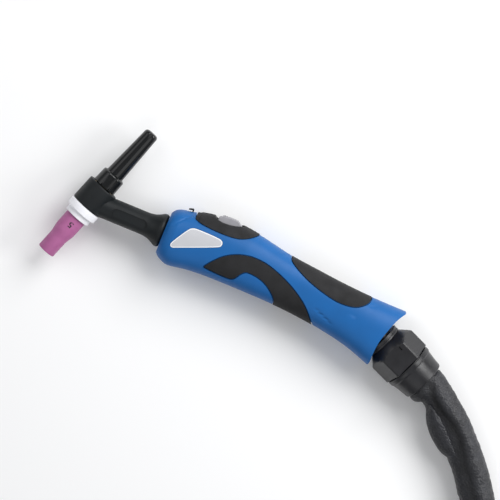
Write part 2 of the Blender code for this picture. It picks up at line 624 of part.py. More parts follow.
def make_plug(start, heading):
    """The machine plug: a bayonet pin with the gas passage and two contacts beside it."""
    angle = math.degrees(math.atan2(heading.y, heading.x))

    def on_plug(obj, across=0.0, up=0.0):
        side = Vector((-heading.y, heading.x, 0)) * across
        return place(obj, (start.x + side.x, start.y + side.y), angle, start.z + up)

    on_plug(turned("plug_boot", [
        (0, 24), (12.4, 24), (12.4, 20), (9.4, 2 * GAP), (0, 2 * GAP)], CABLE_BLACK))
    on_plug(turned("plug_body", [
        (0, 70), (13.2, 70), (13.8, 69), (13.8, 51), (16.4, 51), (16.4, 29), (14, 24.3), (0, 24.3)],
        BLACK_PHENOLIC, 28))
    on_plug(turned("plug_ring", [
        (17.6, 70.5), (17.6, 52.8), (16.9, 51.4), (14.2, 51.4), (14.2, 71.5), (16.9, 71.5)], NUT_BLACK, 28))
    on_plug(turned("power_pin", [
        (0, 86), (4.6, 86), (5.6, 85), (5.6, 70.3), (0, 70.3)], BRASS, 20))
    on_plug(turned("gas_spigot", [(0, 80), (1.9, 80), (2.4, 79), (2.4, 70.3), (0, 70.3)], BRASS, 12), 0, 9.4)
    for number, across in ((1, -8.6), (2, 8.6)):
        on_plug(rod(f"contact_pin_{number}", 1.1, 70.3, 77, BRASS, 12), across, -3)


make_head()
shells = make_handle()
make_switch(shells)
make_inside()
make_joint()
leather_end = make_leather()
make_plug(*make_cable(leather_end))
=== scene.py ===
import json
import math

import bmesh
import bpy
import numpy as np
from mathutils import Matrix, Vector, noise


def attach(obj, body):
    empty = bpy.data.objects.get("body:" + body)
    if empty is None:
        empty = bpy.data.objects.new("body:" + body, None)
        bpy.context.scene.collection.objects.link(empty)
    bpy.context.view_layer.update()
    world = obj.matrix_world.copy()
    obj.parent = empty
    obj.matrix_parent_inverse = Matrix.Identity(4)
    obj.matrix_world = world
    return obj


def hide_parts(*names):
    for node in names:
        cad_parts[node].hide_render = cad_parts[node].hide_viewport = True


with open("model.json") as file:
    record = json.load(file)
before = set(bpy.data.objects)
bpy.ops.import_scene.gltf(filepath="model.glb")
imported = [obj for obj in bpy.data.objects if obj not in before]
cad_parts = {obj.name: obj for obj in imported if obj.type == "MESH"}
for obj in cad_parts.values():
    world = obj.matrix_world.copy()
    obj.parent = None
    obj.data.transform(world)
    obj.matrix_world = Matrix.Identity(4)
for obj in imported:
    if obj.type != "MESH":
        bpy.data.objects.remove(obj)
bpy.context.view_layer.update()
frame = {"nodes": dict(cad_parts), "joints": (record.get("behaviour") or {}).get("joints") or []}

scene = bpy.context.scene

# Shapes are worked out in the torch's own millimetres: X along the neck, Y towards the trigger, Z up from
# the plane between the shells. toRow turns them into the shared frame's metres.
rowShift = np.array([80.165, 8.828, -20.8])
sideFlat = 20.8
gap = 0.3


def toRow(points):
    return (np.asarray(points, float).reshape(-1, 3) - rowShift) / 1000


def rowPoint(x, y, z=0.0):
    return Vector(toRow((x, y, z))[0])


def addObject(name, data):
    made = bpy.data.objects.new(name, data)
    scene.collection.objects.link(made)
    return made


# Camera and lights

cameraPlan = {
    "target": (-0.009465, 0.003972, 0.0208),
    "right": (0.9239, 0.3827),
    "tilt": 5.0,
    "distance": 1.6,
    "lens": 140.5,
}


def makeCamera(plan):
    right = Vector((*plan["right"], 0)).normalized()
    up = Vector((-right.y, right.x, 0))
    tilt = math.radians(plan["tilt"])
    back = (Vector((0, 0, 1)) * math.cos(tilt) + up * math.sin(tilt)).normalized()
    data = bpy.data.cameras.new("studioCamera")
    data.lens = plan["lens"]
    data.sensor_width = 36
    camera = addObject("studioCamera", data)
    turn = Matrix((right, back.cross(right), back)).transposed()
    camera.matrix_world = Matrix.Translation(Vector(plan["target"]) + back * plan["distance"]) @ turn.to_4x4()
    scene.camera = camera


makeCamera(cameraPlan)
scene.view_settings.view_transform = "Standard"


def linear(code):
    values = [int(code[i : i + 2], 16) / 255 for i in (0, 2, 4)]
    return [v / 12.92 if v <= 0.04045 else ((v + 0.055) / 1.055) ** 2.4 for v in values] + [1.0]


def addNode(tree, kind, links=None, **settings):
    made = tree.nodes.new(kind)
    for name, value in settings.items():
        setattr(made, name, value)
    for socket, value in (links or {}).items():
        if isinstance(value, bpy.types.NodeSocket):
            tree.links.new(value, made.inputs[socket])
        else:
            made.inputs[socket].default_value = value
    return made


lightPlan = {
    "world": ("F4F6FA", 0.3),
    "lamps": [  # place, size and watts
        ((0.42, 1.05, 1.03), 1.0, 18.0),
        ((1.15, 0.42, 0.72), 0.6, 9.0),
        ((-0.95, 0.3, 1.08), 1.1, 3.5),
        ((0.1, -1.0, 1.3), 1.3, 4.3),
    ],
    "floor": "F7F7F7",
}


def makeStudio(plan):
    world = bpy.data.worlds.new("studioWorld")
    scene.world = world
    world.use_nodes = True
    background = world.node_tree.nodes["Background"]
    background.inputs["Color"].default_value = linear(plan["world"][0])
    background.inputs["Strength"].default_value = plan["world"][1]
    target = Vector(cameraPlan["target"])
    for i, (where, size, watts) in enumerate(plan["lamps"]):
        data = bpy.data.lights.new(f"softbox{i}", "AREA")
        data.size = size
        data.energy = watts
        lamp = addObject(f"softbox{i}", data)
        lamp.location = where
        lamp.rotation_euler = (target - Vector(where)).to_track_quat("-Z", "Y").to_euler()


makeStudio(lightPlan)
print("studio ready")


# Materials. Grain sizes are in millimetres; one below 0.8 mm wouldn't show, so it is drawn that coarse.

def startMaterial(name, colour, roughness, metallic=0.0, **constants):
    made = bpy.data.materials.new(name)
    made.use_nodes = True
    shader = made.node_tree.nodes["Principled BSDF"]
    shader.inputs["Base Color"].default_value = linear(colour)
    shader.inputs["Roughness"].default_value = roughness
    shader.inputs["Metallic"].default_value = metallic
    for socket, value in constants.items():
        shader.inputs[socket.replace("_", " ")].default_value = value
    made.diffuse_color = linear(colour)
    return made, made.node_tree, shader


def mottled(tree, shader, colour, other, coords, blotch, amount=1.0):
    patches = addNode(tree, "ShaderNodeTexNoise", {"Vector": coords, "Scale": 1000 / blotch, "Detail": 3.0})
    spread = addNode(tree, "ShaderNodeMapRange", {"Value": patches.outputs["Fac"], "From Min": 0.3,
                                                  "From Max": 0.7, "To Min": 0.0, "To Max": amount})
    mix = addNode(tree, "ShaderNodeMix", {"Factor": spread.outputs["Result"]}, data_type="RGBA")
    # the colour sockets of a Mix node share their names with its number sockets
    for socket, value in zip([s for s in mix.inputs if s.type == "RGBA"], (colour, other)):
        socket.default_value = linear(value)
    tree.links.new(next(s for s in mix.outputs if s.type == "RGBA"), shader.inputs["Base Color"])
    return patches


def moulded(name, colour, other, roughness, spread, grain, depth, blotch=14.0, stretch=(1, 1, 1), turn=0.0,
            metallic=0.0, **constants):
    made, tree, shader = startMaterial(name, colour, roughness, metallic, **constants)
    place = addNode(tree, "ShaderNodeTexCoord").outputs["Object"]
    coords = addNode(tree, "ShaderNodeMapping", {"Vector": place, "Rotation": (0, 0, math.radians(-turn)),
                                                 "Scale": stretch}).outputs["Vector"]
    patches = mottled(tree, shader, colour, other, place, blotch)
    fine = addNode(tree, "ShaderNodeTexNoise", {"Vector": coords, "Scale": 1000 / grain, "Detail": 4.0,
                                                "Roughness": 0.6})
    both = addNode(tree, "ShaderNodeMath", {0: fine.outputs["Fac"], 1: patches.outputs["Fac"]},
                   operation="ADD")
    rough = addNode(tree, "ShaderNodeMapRange", {"Value": both.outputs["Value"], "From Min": 0.6,
                                                 "From Max": 1.4, "To Min": roughness - spread,
                                                 "To Max": roughness + spread})
    tree.links.new(rough.outputs["Result"], shader.inputs["Roughness"])
    bump = addNode(tree, "ShaderNodeBump", {"Height": fine.outputs["Fac"], "Strength": 1.0,
                                            "Distance": depth / 1000})
    tree.links.new(bump.outputs["Normal"], shader.inputs["Normal"])
    return made


headAngle = 70.0
hoseAngle = -23.0

# Injection-moulded nylon: even satin blue with the mould's fine spark-eroded grain.
blueNylon = moulded("mouldedBlueNylon", "115FA3", "0F5A9B", 0.5, 0.07, 0.9, 0.03, 22,
                     Specular_IOR_Level=0.3)
# Moulded thermoplastic rubber: matt, slightly warm grey-black, no clear reflections.
gripRubber = moulded("mouldedGripRubber", "1E1E20", "1A1A1B", 0.74, 0.1, 0.8, 0.06, 9,
                      Specular_IOR_Level=0.35)
# Pressed phenolic: black and glossy, with soft waves in the highlight.
blackPhenolic = moulded("pressedBlackPhenolic", "0B0D0E", "0E1011", 0.22, 0.04, 3.0, 0.003, 12)
# Moulded silicone rubber: satin, a little green in the light.
headRubber = moulded("mouldedSiliconeRubber", "0D1316", "0A0F12", 0.52, 0.1, 0.8, 0.04, 8,
                      Specular_IOR_Level=0.35)
sealRubber = moulded("mouldedSealRubber", "151516", "1C1C1E", 0.6, 0.08, 0.8, 0.03, 6)
# Pressed and fired alumina, coloured pink: fine-grained, half matt.
pinkAlumina = moulded("firedPinkAlumina", "AE6395", "A65B8D", 0.55, 0.08, 0.8, 0.03, 7)
# Turned PTFE: waxy white, faint turning marks along the head's axis.
whitePtfe = moulded("turnedPtfe", "F3F3F7", "ECECF2", 0.42, 0.06, 0.9, 0.02, 10, (3, 0.4, 0.4), headAngle)
# Printed polyester label under a clear film.
labelFilm = moulded("printedLabelFilm", "C4C5C9", "BFC0C4", 0.3, 0.05, 1.2, 0.006, 12)
labelBorder = moulded("printedLabelBorder", "EFF1F4", "E9EBEF", 0.3, 0.05, 1.2, 0.006, 12)
# Moulded grey nylon: satin, fingertip-smooth.
buttonNylon = moulded("mouldedGreyNylon", "A09FA4", "98979C", 0.45, 0.08, 0.8, 0.03, 5)
# Moulded glass-filled nylon: black, its filler breaks the gloss into a dull sheen.
blackNylon = moulded("mouldedBlackNylon", "141417", "1A1A1E", 0.38, 0.1, 0.9, 0.05, 11)
acetal = moulded("mouldedAcetal", "D8D8D2", "D0D0CA", 0.35, 0.05, 0.9, 0.02)
# Zinc-plated steel: pale grey metal, finely brushed.
zincSteel = moulded("zincPlatedSteel", "B4B6BA", "A4A8AE", 0.3, 0.1, 0.8, 0.015, 5, (0.25, 3, 3), 0, 1.0)
# Turned brass and copper: fine rings round the axis of turning.
turnedBrass = moulded("turnedBrass", "D1AC5E", "C29A4C", 0.26, 0.08, 0.8, 0.02, 6, (3, 0.3, 0.3), -45, 1.0)
drawnCopper = moulded("drawnCopper", "C07D4A", "A86A3C", 0.3, 0.1, 0.8, 0.02, 6, (0.3, 3, 3), 0, 1.0)
# Ground tungsten: dark grey metal with marks along the rod.
groundTungsten = moulded("groundTungsten", "85888E", "787B82", 0.34, 0.08, 0.8, 0.02, 5, (0.3, 3, 3),
                         headAngle, 1.0)
# Dark ceramic ink, fired on.
firedInk = startMaterial("firedInk", "33222E", 0.6)[0]
# Waxed polyester thread.
waxedThread = startMaterial("waxedPolyesterThread", "4B4A4C", 0.55)[0]


def makeLeather():
    # Grained cowhide, chrome-tanned black: pebbles with finer pores, worn paler in patches and shinier where
    # it stands proud, duller inside its folds, whose colour is darkened there with painted shade. The real
    # grain is about 1 mm and is drawn coarser.
    made, tree, shader = startMaterial("grainedCowhide", "141518", 0.42)
    place = addNode(tree, "ShaderNodeTexCoord").outputs["Object"]
    wander = addNode(tree, "ShaderNodeTexNoise", {"Vector": place, "Scale": 240.0, "Detail": 2.0})
    bent = addNode(tree, "ShaderNodeVectorMath", {0: wander.outputs["Color"], 1: (0.0012, 0.0012, 0.0012)},
                   operation="MULTIPLY")
    coords = addNode(tree, "ShaderNodeVectorMath", {0: place, 1: bent.outputs["Vector"]}, operation="ADD")
    pebbles = addNode(tree, "ShaderNodeTexVoronoi", {"Vector": coords.outputs["Vector"], "Scale": 1000 / 1.7})
    pores = addNode(tree, "ShaderNodeTexNoise", {"Vector": place, "Scale": 1000 / 0.8, "Detail": 3.0})
    mottled(tree, shader, "141519", "222329", place, 9)
    worn = next(link.from_socket for link in tree.links if link.to_socket == shader.inputs["Base Color"])
    # painted shade: the hose's fold mask darkens the leather's colour towards near black, and also dulls it
    folded = addNode(tree, "ShaderNodeAttribute", attribute_name="foldShade")
    paintedFoldShade = addNode(tree, "ShaderNodeMix", {"Factor": folded.outputs["Fac"]}, data_type="RGBA")
    sockets = [socket for socket in paintedFoldShade.inputs if socket.type == "RGBA"]
    tree.links.new(worn, sockets[0])
    sockets[1].default_value = linear("08080A")
    tree.links.new(next(o for o in paintedFoldShade.outputs if o.type == "RGBA"), shader.inputs["Base Color"])
    lift = addNode(tree, "ShaderNodeMath", {0: pebbles.outputs["Distance"], 1: -0.7, 2: 1.0},
                   operation="MULTIPLY_ADD")
    height = addNode(tree, "ShaderNodeMath", {0: pores.outputs["Fac"], 1: 0.45, 2: lift.outputs["Value"]},
                     operation="MULTIPLY_ADD")
    bump = addNode(tree, "ShaderNodeBump", {"Height": height.outputs["Value"], "Strength": 1.0,
                                            "Distance": 0.0006})
    rough = addNode(tree, "ShaderNodeMapRange", {"Value": height.outputs["Value"], "From Min": 0.5,
                                                 "From Max": 1.3, "To Min": 0.55, "To Max": 0.36})
    dull = addNode(tree, "ShaderNodeMath", {0: folded.outputs["Fac"], 1: 0.35, 2: rough.outputs["Result"]},
                   operation="MULTIPLY_ADD")
    tree.links.new(bump.outputs["Normal"], shader.inputs["Normal"])
    tree.links.new(dull.outputs["Value"], shader.inputs["Roughness"])
    return made


def makeCableRubber():
    # Extruded rubber sheath: matt black with faint streaks along its length, from the piece's UV.
    made, tree, shader = startMaterial("extrudedRubberSheath", "151619", 0.55)
    across = addNode(tree, "ShaderNodeUVMap", uv_map="along").outputs["UV"]
    streaks = addNode(tree, "ShaderNodeMapping", {"Vector": across, "Scale": (26, 6, 1)}).outputs["Vector"]
    lines = addNode(tree, "ShaderNodeTexNoise", {"Vector": streaks, "Scale": 1.0, "Detail": 4.0})
    place = addNode(tree, "ShaderNodeTexCoord").outputs["Object"]
    mottled(tree, shader, "131417", "1B1C1F", place, 16)
    rough = addNode(tree, "ShaderNodeMapRange", {"Value": lines.outputs["Fac"], "To Min": 0.42,
                                                 "To Max": 0.7})
    bump = addNode(tree, "ShaderNodeBump", {"Height": lines.outputs["Fac"], "Strength": 0.8,
                                            "Distance": 0.0001})
    tree.links.new(rough.outputs["Result"], shader.inputs["Roughness"])
    tree.links.new(bump.outputs["Normal"], shader.inputs["Normal"])
    return made


def makeWebbing():
    # Woven nylon hook-and-loop strap: ribs 1.2 mm apart across it, and a soft fuzz.
    made, tree, shader = startMaterial("wovenNylonStrap", "18191C", 0.8, Sheen_Weight=0.15)
    along = addNode(tree, "ShaderNodeUVMap", uv_map="along").outputs["UV"]
    ribs = addNode(tree, "ShaderNodeTexWave", {"Vector": along, "Scale": 1000 / 1.2 / 20, "Distortion": 0.6,
                                               "Detail": 2.0}, bands_direction="Y")
    place = addNode(tree, "ShaderNodeTexCoord").outputs["Object"]
    mottled(tree, shader, "151619", "1F2024", place, 2.5)
    bump = addNode(tree, "ShaderNodeBump", {"Height": ribs.outputs["Fac"], "Strength": 0.8,
                                            "Distance": 0.0003})
    tree.links.new(bump.outputs["Normal"], shader.inputs["Normal"])
    return made


grainedLeather = makeLeather()
cableRubber = makeCableRubber()
webbing = makeWebbing()
# Moulded soft PVC for boots and inner leads: dull black.
bootRubber = moulded("mouldedSoftPvc", "161719", "1D1E20", 0.58, 0.1, 0.8, 0.05, 8)


# Mesh helpers

def shade(mesh, sharp):
    mesh.shade_smooth()
    mesh.set_sharp_from_angle(angle=math.radians(sharp))


def faceOutwards(mesh):
    form = bmesh.new()
    form.from_mesh(mesh)
    bmesh.ops.recalc_face_normals(form, faces=form.faces)
    form.to_mesh(mesh)
    form.free()


def makePiece(name, points, faces, look, sharp=35.0, inRow=False):
    mesh = bpy.data.meshes.new(name)
    placed = np.asarray(points, float) if inRow else toRow(points)
    mesh.from_pydata(placed.tolist(), [], [list(face) for face in faces])
    faceOutwards(mesh)
    if look:
        mesh.materials.append(look)
    shade(mesh, sharp)
    return addObject(name, mesh)


def plainMesh(piece):
    # the piece's mesh with its modifiers run
    bpy.context.view_layer.update()
    graph = bpy.context.evaluated_depsgraph_get()
    return bpy.data.meshes.new_from_object(piece.evaluated_get(graph))


def ringFaces(rows, count):
    # the faces of a body given as rings of points, with both ends closed
    faces = []
    for first in range(0, (rows - 1) * count, count):
        faces += [(first + k, first + (k + 1) % count, first + count + (k + 1) % count, first + count + k)
                  for k in range(count)]
    return faces + [range(count), range((rows - 1) * count, rows * count)]


def alongUv(mesh, uvs):
    layer = mesh.uv_layers.new(name="along")
    layer.data.foreach_set("uv", np.array(uvs, np.float32).ravel())


def ride(piece, body, slot, *replaced):
    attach(piece, body)
    if replaced:
        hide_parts(*replaced)
    return piece


def easedCorner(start, here, end, steps):
    shares = [k / steps for k in range(steps + 1)]
    return [tuple(start * (1 - t) ** 2 + here * 2 * t * (1 - t) + end * t * t) for t in shares]


def circle(x, y, radius, count=32):
    turns = np.arange(count) * 2 * math.pi / count
    return [(x + radius * math.cos(turn), y + radius * math.sin(turn)) for turn in turns]


def rounded(points, radius, closed=False, steps=3):
    count = len(points)
    found = []
    for i in range(count):
        here = Vector(points[i])
        if not closed and i in (0, count - 1):
            found.append(tuple(here))
            continue
        before, after = Vector(points[i - 1]) - here, Vector(points[(i + 1) % count]) - here
        reach = min(radius, before.length * 0.45, after.length * 0.45)
        start, end = here + before.normalized() * reach, here + after.normalized() * reach
        found += easedCorner(start, here, end, steps)
    return found


def turnFrame(middle, angle):
    turn = math.radians(angle)
    along = np.array([math.cos(turn), math.sin(turn), 0.0])
    side = np.array([-math.sin(turn), math.cos(turn), 0.0])
    return np.array([middle[0], middle[1], middle[2] if len(middle) > 2 else 0.0]), along, side


def turned(name, profile, look, middle, angle, steps=72, shape=None, sharp=32.0):
    # a body of revolution; shape may change the radius by direction, in radians from straight up
    start, along, side = turnFrame(middle, angle)
    up = np.array([0, 0, 1.0])
    solidEnds = profile[0][0] == 0 and profile[-1][0] == 0
    points, rows = [], []
    for index, (radius, z) in enumerate(profile):
        if radius == 0:
            rows.append([len(points)] * steps)
            points.append(start + along * z)
            continue
        rows.append(list(range(len(points), len(points) + steps)))
        for k in range(steps):
            turn = 2 * math.pi * k / steps
            far = shape(turn, radius, z, index) if shape else radius
            points.append(start + along * z + (up * math.cos(turn) + side * math.sin(turn)) * far)
    pairs = list(zip(rows, rows[1:])) + ([] if solidEnds else [(rows[-1], rows[0])])
    faces = []
    for near, far in pairs:
        for k in range(steps):
            j = (k + 1) % steps
            corners = [near[k], near[j], far[j], far[k]]
            face = [c for n, c in enumerate(corners) if c not in corners[:n]]
            if len(face) > 2:
                faces.append(face)
    return makePiece(name, points, faces, look, sharp)


def prism(name, outline, low, high, look=None):
    count = len(outline)
    points = [(x, y, z) for z in (low, high) for x, y in outline]
    faces = [range(count), range(2 * count - 1, count - 1, -1)]
    faces += [(i, (i + 1) % count, (i + 1) % count + count, i + count) for i in range(count)]
    return makePiece(name, points, faces, look)


def carve(piece, steps, sharp=32.0):
    # runs the Booleans in order and leaves a plain mesh; the cutters are left for the caller to drop
    for operation, other in steps:
        modifier = piece.modifiers.new(operation, "BOOLEAN")
        modifier.operation, modifier.solver, modifier.object = operation, "MANIFOLD", other
    mesh = plainMesh(piece)
    piece.modifiers.clear()
    piece.data = mesh
    shade(mesh, sharp)
    return piece


def drop(*pieces):
    for piece in pieces:
        bpy.data.objects.remove(piece)


def smooth(points, x):
    last = len(points) - 1
    x = min(max(x, points[0][0]), points[last][0])
    i = next(k for k in range(last) if x <= points[k + 1][0])

    def slope(k):
        before, after = points[max(k - 1, 0)], points[min(k + 1, last)]
        return (after[1] - before[1]) / (after[0] - before[0])

    (x0, y0), (x1, y1) = points[i], points[i + 1]
    span = x1 - x0
    t = (x - x0) / span
    return ((2 * t**3 - 3 * t**2 + 1) * y0 + (t**3 - 2 * t**2 + t) * span * slope(i)
            + (3 * t**2 - 2 * t**3) * y1 + (t**3 - t**2) * span * slope(i + 1))


def tubeMesh(name, line, radiusAt, around, look, flat=None):
    # line holds points in row metres; radiusAt gives metres by distance along and direction
    line = np.asarray(line)
    ahead = np.gradient(line, axis=0)
    ahead /= np.linalg.norm(ahead, axis=1)[:, None]
    left = np.cross([0, 0, 1.0], ahead)
    left /= np.linalg.norm(left, axis=1)[:, None]
    top = np.cross(ahead, left)
    reached = np.concatenate([[0], np.cumsum(np.linalg.norm(np.diff(line, axis=0), axis=1))])
    points, uvs = [], []
    for i, middle in enumerate(line):
        for k in range(around):
            turn = 2 * math.pi * k / around
            far = radiusAt(reached[i], turn)
            points.append(middle + (left[i] * math.cos(turn) + top[i] * math.sin(turn)) * far)
    points = np.array(points)
    if flat is not None:
        points[:, 2] = np.maximum(points[:, 2], flat)
    faces = []
    for i in range(len(line) - 1):
        for k in range(around):
            j = (k + 1) % around
            faces.append((i * around + k, i * around + j, (i + 1) * around + j, (i + 1) * around + k))
            v0, v1 = reached[i], reached[i + 1]
            uvs += [(k / around, v0), ((k + 1) / around, v0), ((k + 1) / around, v1), (k / around, v1)]
    faces += [tuple(range(around))[::-1], tuple(range((len(line) - 1) * around, len(line) * around))]
    uvs += [(0.5, 0.0)] * around + [(0.5, reached[-1])] * around
    mesh = bpy.data.meshes.new(name)
    mesh.from_pydata(points.tolist(), [], faces)
    alongUv(mesh, uvs)
    mesh.flip_normals()
    mesh.materials.append(look)
    shade(mesh, 50)
    form = bmesh.new()
    form.from_mesh(mesh)
    outward = form.calc_volume(signed=True) > 0
    form.free()
    if not outward:
        mesh.flip_normals()
    return addObject(name, mesh)


# Cords: routes in the shared frame, in metres

hosePlan = {
    "start": (0.157402, -0.038554, 0.0208),
    "route": [(0.180335, -0.049428, 0.0196), (0.196835, -0.058728, 0.0184), (0.211335, -0.071428, 0.0168),
              (0.224335, -0.086428, 0.0156), (0.236735, -0.105028, 0.015), (0.252335, -0.128328, 0.0147),
              (0.267335, -0.157828, 0.0146), (0.281335, -0.191828, 0.0146), (0.294335, -0.225828, 0.0146),
              (0.306335, -0.255828, 0.0146)],
    "coilMiddle": (0.165935, -0.346928),
    "coilStart": 22.5,
    "turnRadius": 0.164,
    "height": 0.0146,
    "length": 0.8,
    "plainRadius": 14.2,  # millimetres, where nothing bends or folds it
    "around": 72,
    "valleyDepth": 0.0031,
    "wrinkleDepth": 0.00062,
}
cablePlan = {
    "radius": 0.008,
    "out": 14.0,
    "turns": [(0, 0.164, 0.0146), (12, 0.1635, 0.0134), (70, 0.134, 0.0083), (380, 0.134, 0.0083),
              (430, 0.1174, 0.0083), (740, 0.1174, 0.0083), (790, 0.1008, 0.0083), (1040, 0.1008, 0.0083),
              (1095, 0.1091, 0.0251), (1300, 0.1091, 0.0251)],
    "tailRadius": 0.07,
    "tailTo": 128.0,
    "tailHeight": 0.0179,
}


def coilPoint(degrees, radius, height):
    turn = math.radians(hosePlan["coilStart"] - degrees)
    middle = hosePlan["coilMiddle"]
    return Vector((middle[0] + radius * math.cos(turn), middle[1] + radius * math.sin(turn), height))


def laidLine(points, step):
    points = [Vector(point) for point in points]
    reached = [0.0]
    for before, after in zip(points, points[1:]):
        reached.append(reached[-1] + (after - before).length)
    count = max(2, round(reached[-1] / step))
    rows = [[(far, point[axis]) for far, point in zip(reached, points)] for axis in range(3)]
    return [Vector([smooth(row, reached[-1] * i / count) for row in rows]) for i in range(count + 1)]


def lineLength(line):
    return sum((after - before).length for before, after in zip(line, line[1:]))


first = coilPoint(0, hosePlan["turnRadius"], hosePlan["height"])
hoseEnd = math.degrees((hosePlan["length"] - lineLength(laidLine(
    [hosePlan["start"], *hosePlan["route"], first], 0.03))) / hosePlan["turnRadius"])
hoseLine = laidLine([hosePlan["start"], *hosePlan["route"], first], 0.0017)
hoseLine += [coilPoint(hoseEnd * i / 280, hosePlan["turnRadius"], hosePlan["height"]) for i in range(1, 281)]
sleeveOut = 0.0075  # where the hose leaves the clamp, along its line


def bell(x, middle, width):
    return math.exp(-(((x - middle) / width) ** 2))


# how far the surface lies from the line on each side, and where the long crease runs, by distance in
# millimetres from the clamp
bendOutside = [(0, 16.4), (12.7, 15.1), (25, 13.3), (36, 11.4), (60, 11.2), (73, 12.0), (85, 13.4),
               (101, 14.5), (130, 14.2), (800, 14.2)]
bendInside = [(0, 16.6), (3, 17.3), (6, 17.2), (8.6, 16.0), (12.4, 12.6), (19, 13.6), (30, 15.2), (45, 15.6),
              (60, 15.8), (70, 16.8), (77, 17.0), (86, 15.8), (96, 14.8), (120, 14.2), (800, 14.2)]
creaseAcross = [(0, 2.0), (3, 2.4), (13, -3.2), (27, -6.2), (44, -4.9), (56, -4.8), (67, -5.9), (79, -6.6),
                (92, -5.0), (120, -3.6), (190, -1.5), (800, 2.0)]


def foldShare(far, turn, before, after):
    crease = math.acos(smooth(creaseAcross, far) / 14)
    apart = (turn - crease + math.pi) % (2 * math.pi) - math.pi
    fade = (0.2 + 0.8 * math.exp(-max(far, 0) / 160)) * (0.3 + 0.7 * min(max(far / 16, 0), 1))
    return fade * bell(apart, 0, before if apart < 0 else after)


def hoseRadius(reached, turn):
    # turn 0 is the outside of the bend, a quarter turn is up
    far = (reached - sleeveOut) * 1000
    free = min(max(far / 1.6, 0), 1) * min(max((hosePlan["length"] - reached) / 0.01, 0), 1)
    near = math.exp(-max(far, 0) / 160)
    ring = (math.cos(turn) * 14, math.sin(turn) * 14)
    broad = noise.noise(Vector((far / 19, ring[0] / 17, ring[1] / 17)))
    across = noise.noise(Vector((far / 3.6 + ring[0] / 9, ring[0] / 13, ring[1] / 13)))
    ridged = 1 - 2 * abs(noise.noise(Vector((far / 6.0 - ring[1] / 7, ring[0] / 10 + 7, ring[1] / 10))))
    outside = max(math.cos(turn), 0) ** 1.4 * (smooth(bendOutside, far) - hosePlan["plainRadius"])
    inside = max(-math.cos(turn), 0) ** 1.2 * (smooth(bendInside, far) - hosePlan["plainRadius"])
    deep = hosePlan["valleyDepth"] * 1000 * foldShare(far, turn, 0.3, 0.5)
    wrinkle = hosePlan["wrinkleDepth"] * 1000 * (0.45 + 0.55 * near)
    lift = (outside + inside + 0.6 * broad - deep + wrinkle * (across + 0.6 * ridged - 0.3))
    return (14.15 + free * lift) / 1000


leather = tubeMesh("leatherHose", hoseLine, hoseRadius, hosePlan["around"], grainedLeather, flat=0.0002)
ride(leather, "hose_end", "leather", "leather_cover")
# the fold mask that paints shade into the leather's folds and makes them duller
folds = leather.data.attributes.new("foldShade", "FLOAT", "POINT")
reachedRings = np.concatenate([[0], np.cumsum([(b - a).length for a, b in zip(hoseLine, hoseLine[1:])])])
folds.data.foreach_set("value", np.array(
    [foldShare((reached - sleeveOut) * 1000, 2 * math.pi * k / hosePlan["around"], 0.34, 0.42)
     for reached in reachedRings for k in range(hosePlan["around"])], np.float32))


def cablePoint(degrees):
    turns = cablePlan["turns"]
    i = next(k for k in range(len(turns) - 1) if degrees <= turns[k + 1][0])
    share = (degrees - turns[i][0]) / (turns[i + 1][0] - turns[i][0])
    share = share * share * (3 - 2 * share)
    radius, height = [turns[i][n] + (turns[i + 1][n] - turns[i][n]) * share for n in (1, 2)]
    return coilPoint(hoseEnd + degrees, radius, height)


def tailPoints(plan):
    last, radius, height = plan["turns"][-1]
    turn = math.radians(hosePlan["coilStart"] - hoseEnd - last)
    out = Vector((math.cos(turn), math.sin(turn), 0))
    along = Vector((math.sin(turn), -math.cos(turn), 0))
    found = []
    for degrees in range(4, int(plan["tailTo"]) + 1, 4):
        angle = math.radians(degrees)
        fall = min(max((degrees - 30) / (plan["tailTo"] - 30), 0), 1)
        point = Vector((*hosePlan["coilMiddle"], height)) + out * (
            radius - plan["tailRadius"] + plan["tailRadius"] * math.cos(angle))
        point += along * plan["tailRadius"] * math.sin(angle)
        point.z += (plan["tailHeight"] - height) * fall * fall * (3 - 2 * fall)
        found.append(point)
    return found


lastTurn = cablePlan["turns"][-1][0]
cableLine = [cablePoint(cablePlan["out"] + (lastTurn - cablePlan["out"]) * i / 430) for i in range(431)]
cableLine += tailPoints(cablePlan)
cable = tubeMesh("powerCable", cableLine, lambda *_: cablePlan["radius"] - 0.00002, 24, cableRubber)
ride(cable, "hose_end", "cable_rubber", "cable_lead_in", "cable_coil", "cable_tail")
print(f"cords laid, {lineLength(hoseLine):.3f} m of hose and {lineLength(cableLine):.3f} m of cable")

bootLine = [cablePoint(1.0 + (cablePlan["out"] - 0.6) * i / 24) for i in range(25)]
bootLength = lineLength(bootLine)


def bootRadius(reached, _):
    share = reached / bootLength
    base = smooth([(0, 14.35), (0.25, 14.2), (0.5, 12.4), (0.8, 10.4), (1, 9.4)], share)
    groove = 0.7 * (0.5 - 0.5 * math.cos(reached * 1000 / 4.4 * 2 * math.pi)) if 0.34 < share < 0.94 else 0
    return (base - groove) / 1000


bootLine = laidLine(bootLine, 0.0006)
hoseBoot = ride(tubeMesh("hoseEndBoot", bootLine, bootRadius, 48, bootRubber, flat=0.0002),
                "hose_end", "cable_rubber", "leather_end_boot")


# Hook-and-loop straps that hold the coil

strapPlan = {"width": 20.0, "thickness": 1.1, "all": [62.0, 128.0], "cableOnly": [268.0, 330.0]}


def hull(points):
    points = sorted(set(points))
    halves = []
    for ordered in (points, points[::-1]):
        half = []
        for point in ordered:
            while len(half) > 1 and ((half[-1][0] - half[-2][0]) * (point[1] - half[-2][1])
                                     - (half[-1][1] - half[-2][1]) * (point[0] - half[-2][0])) <= 0:
                half.pop()
            half.append(point)
        halves.append(half[:-1])
    return halves[0] + halves[1]


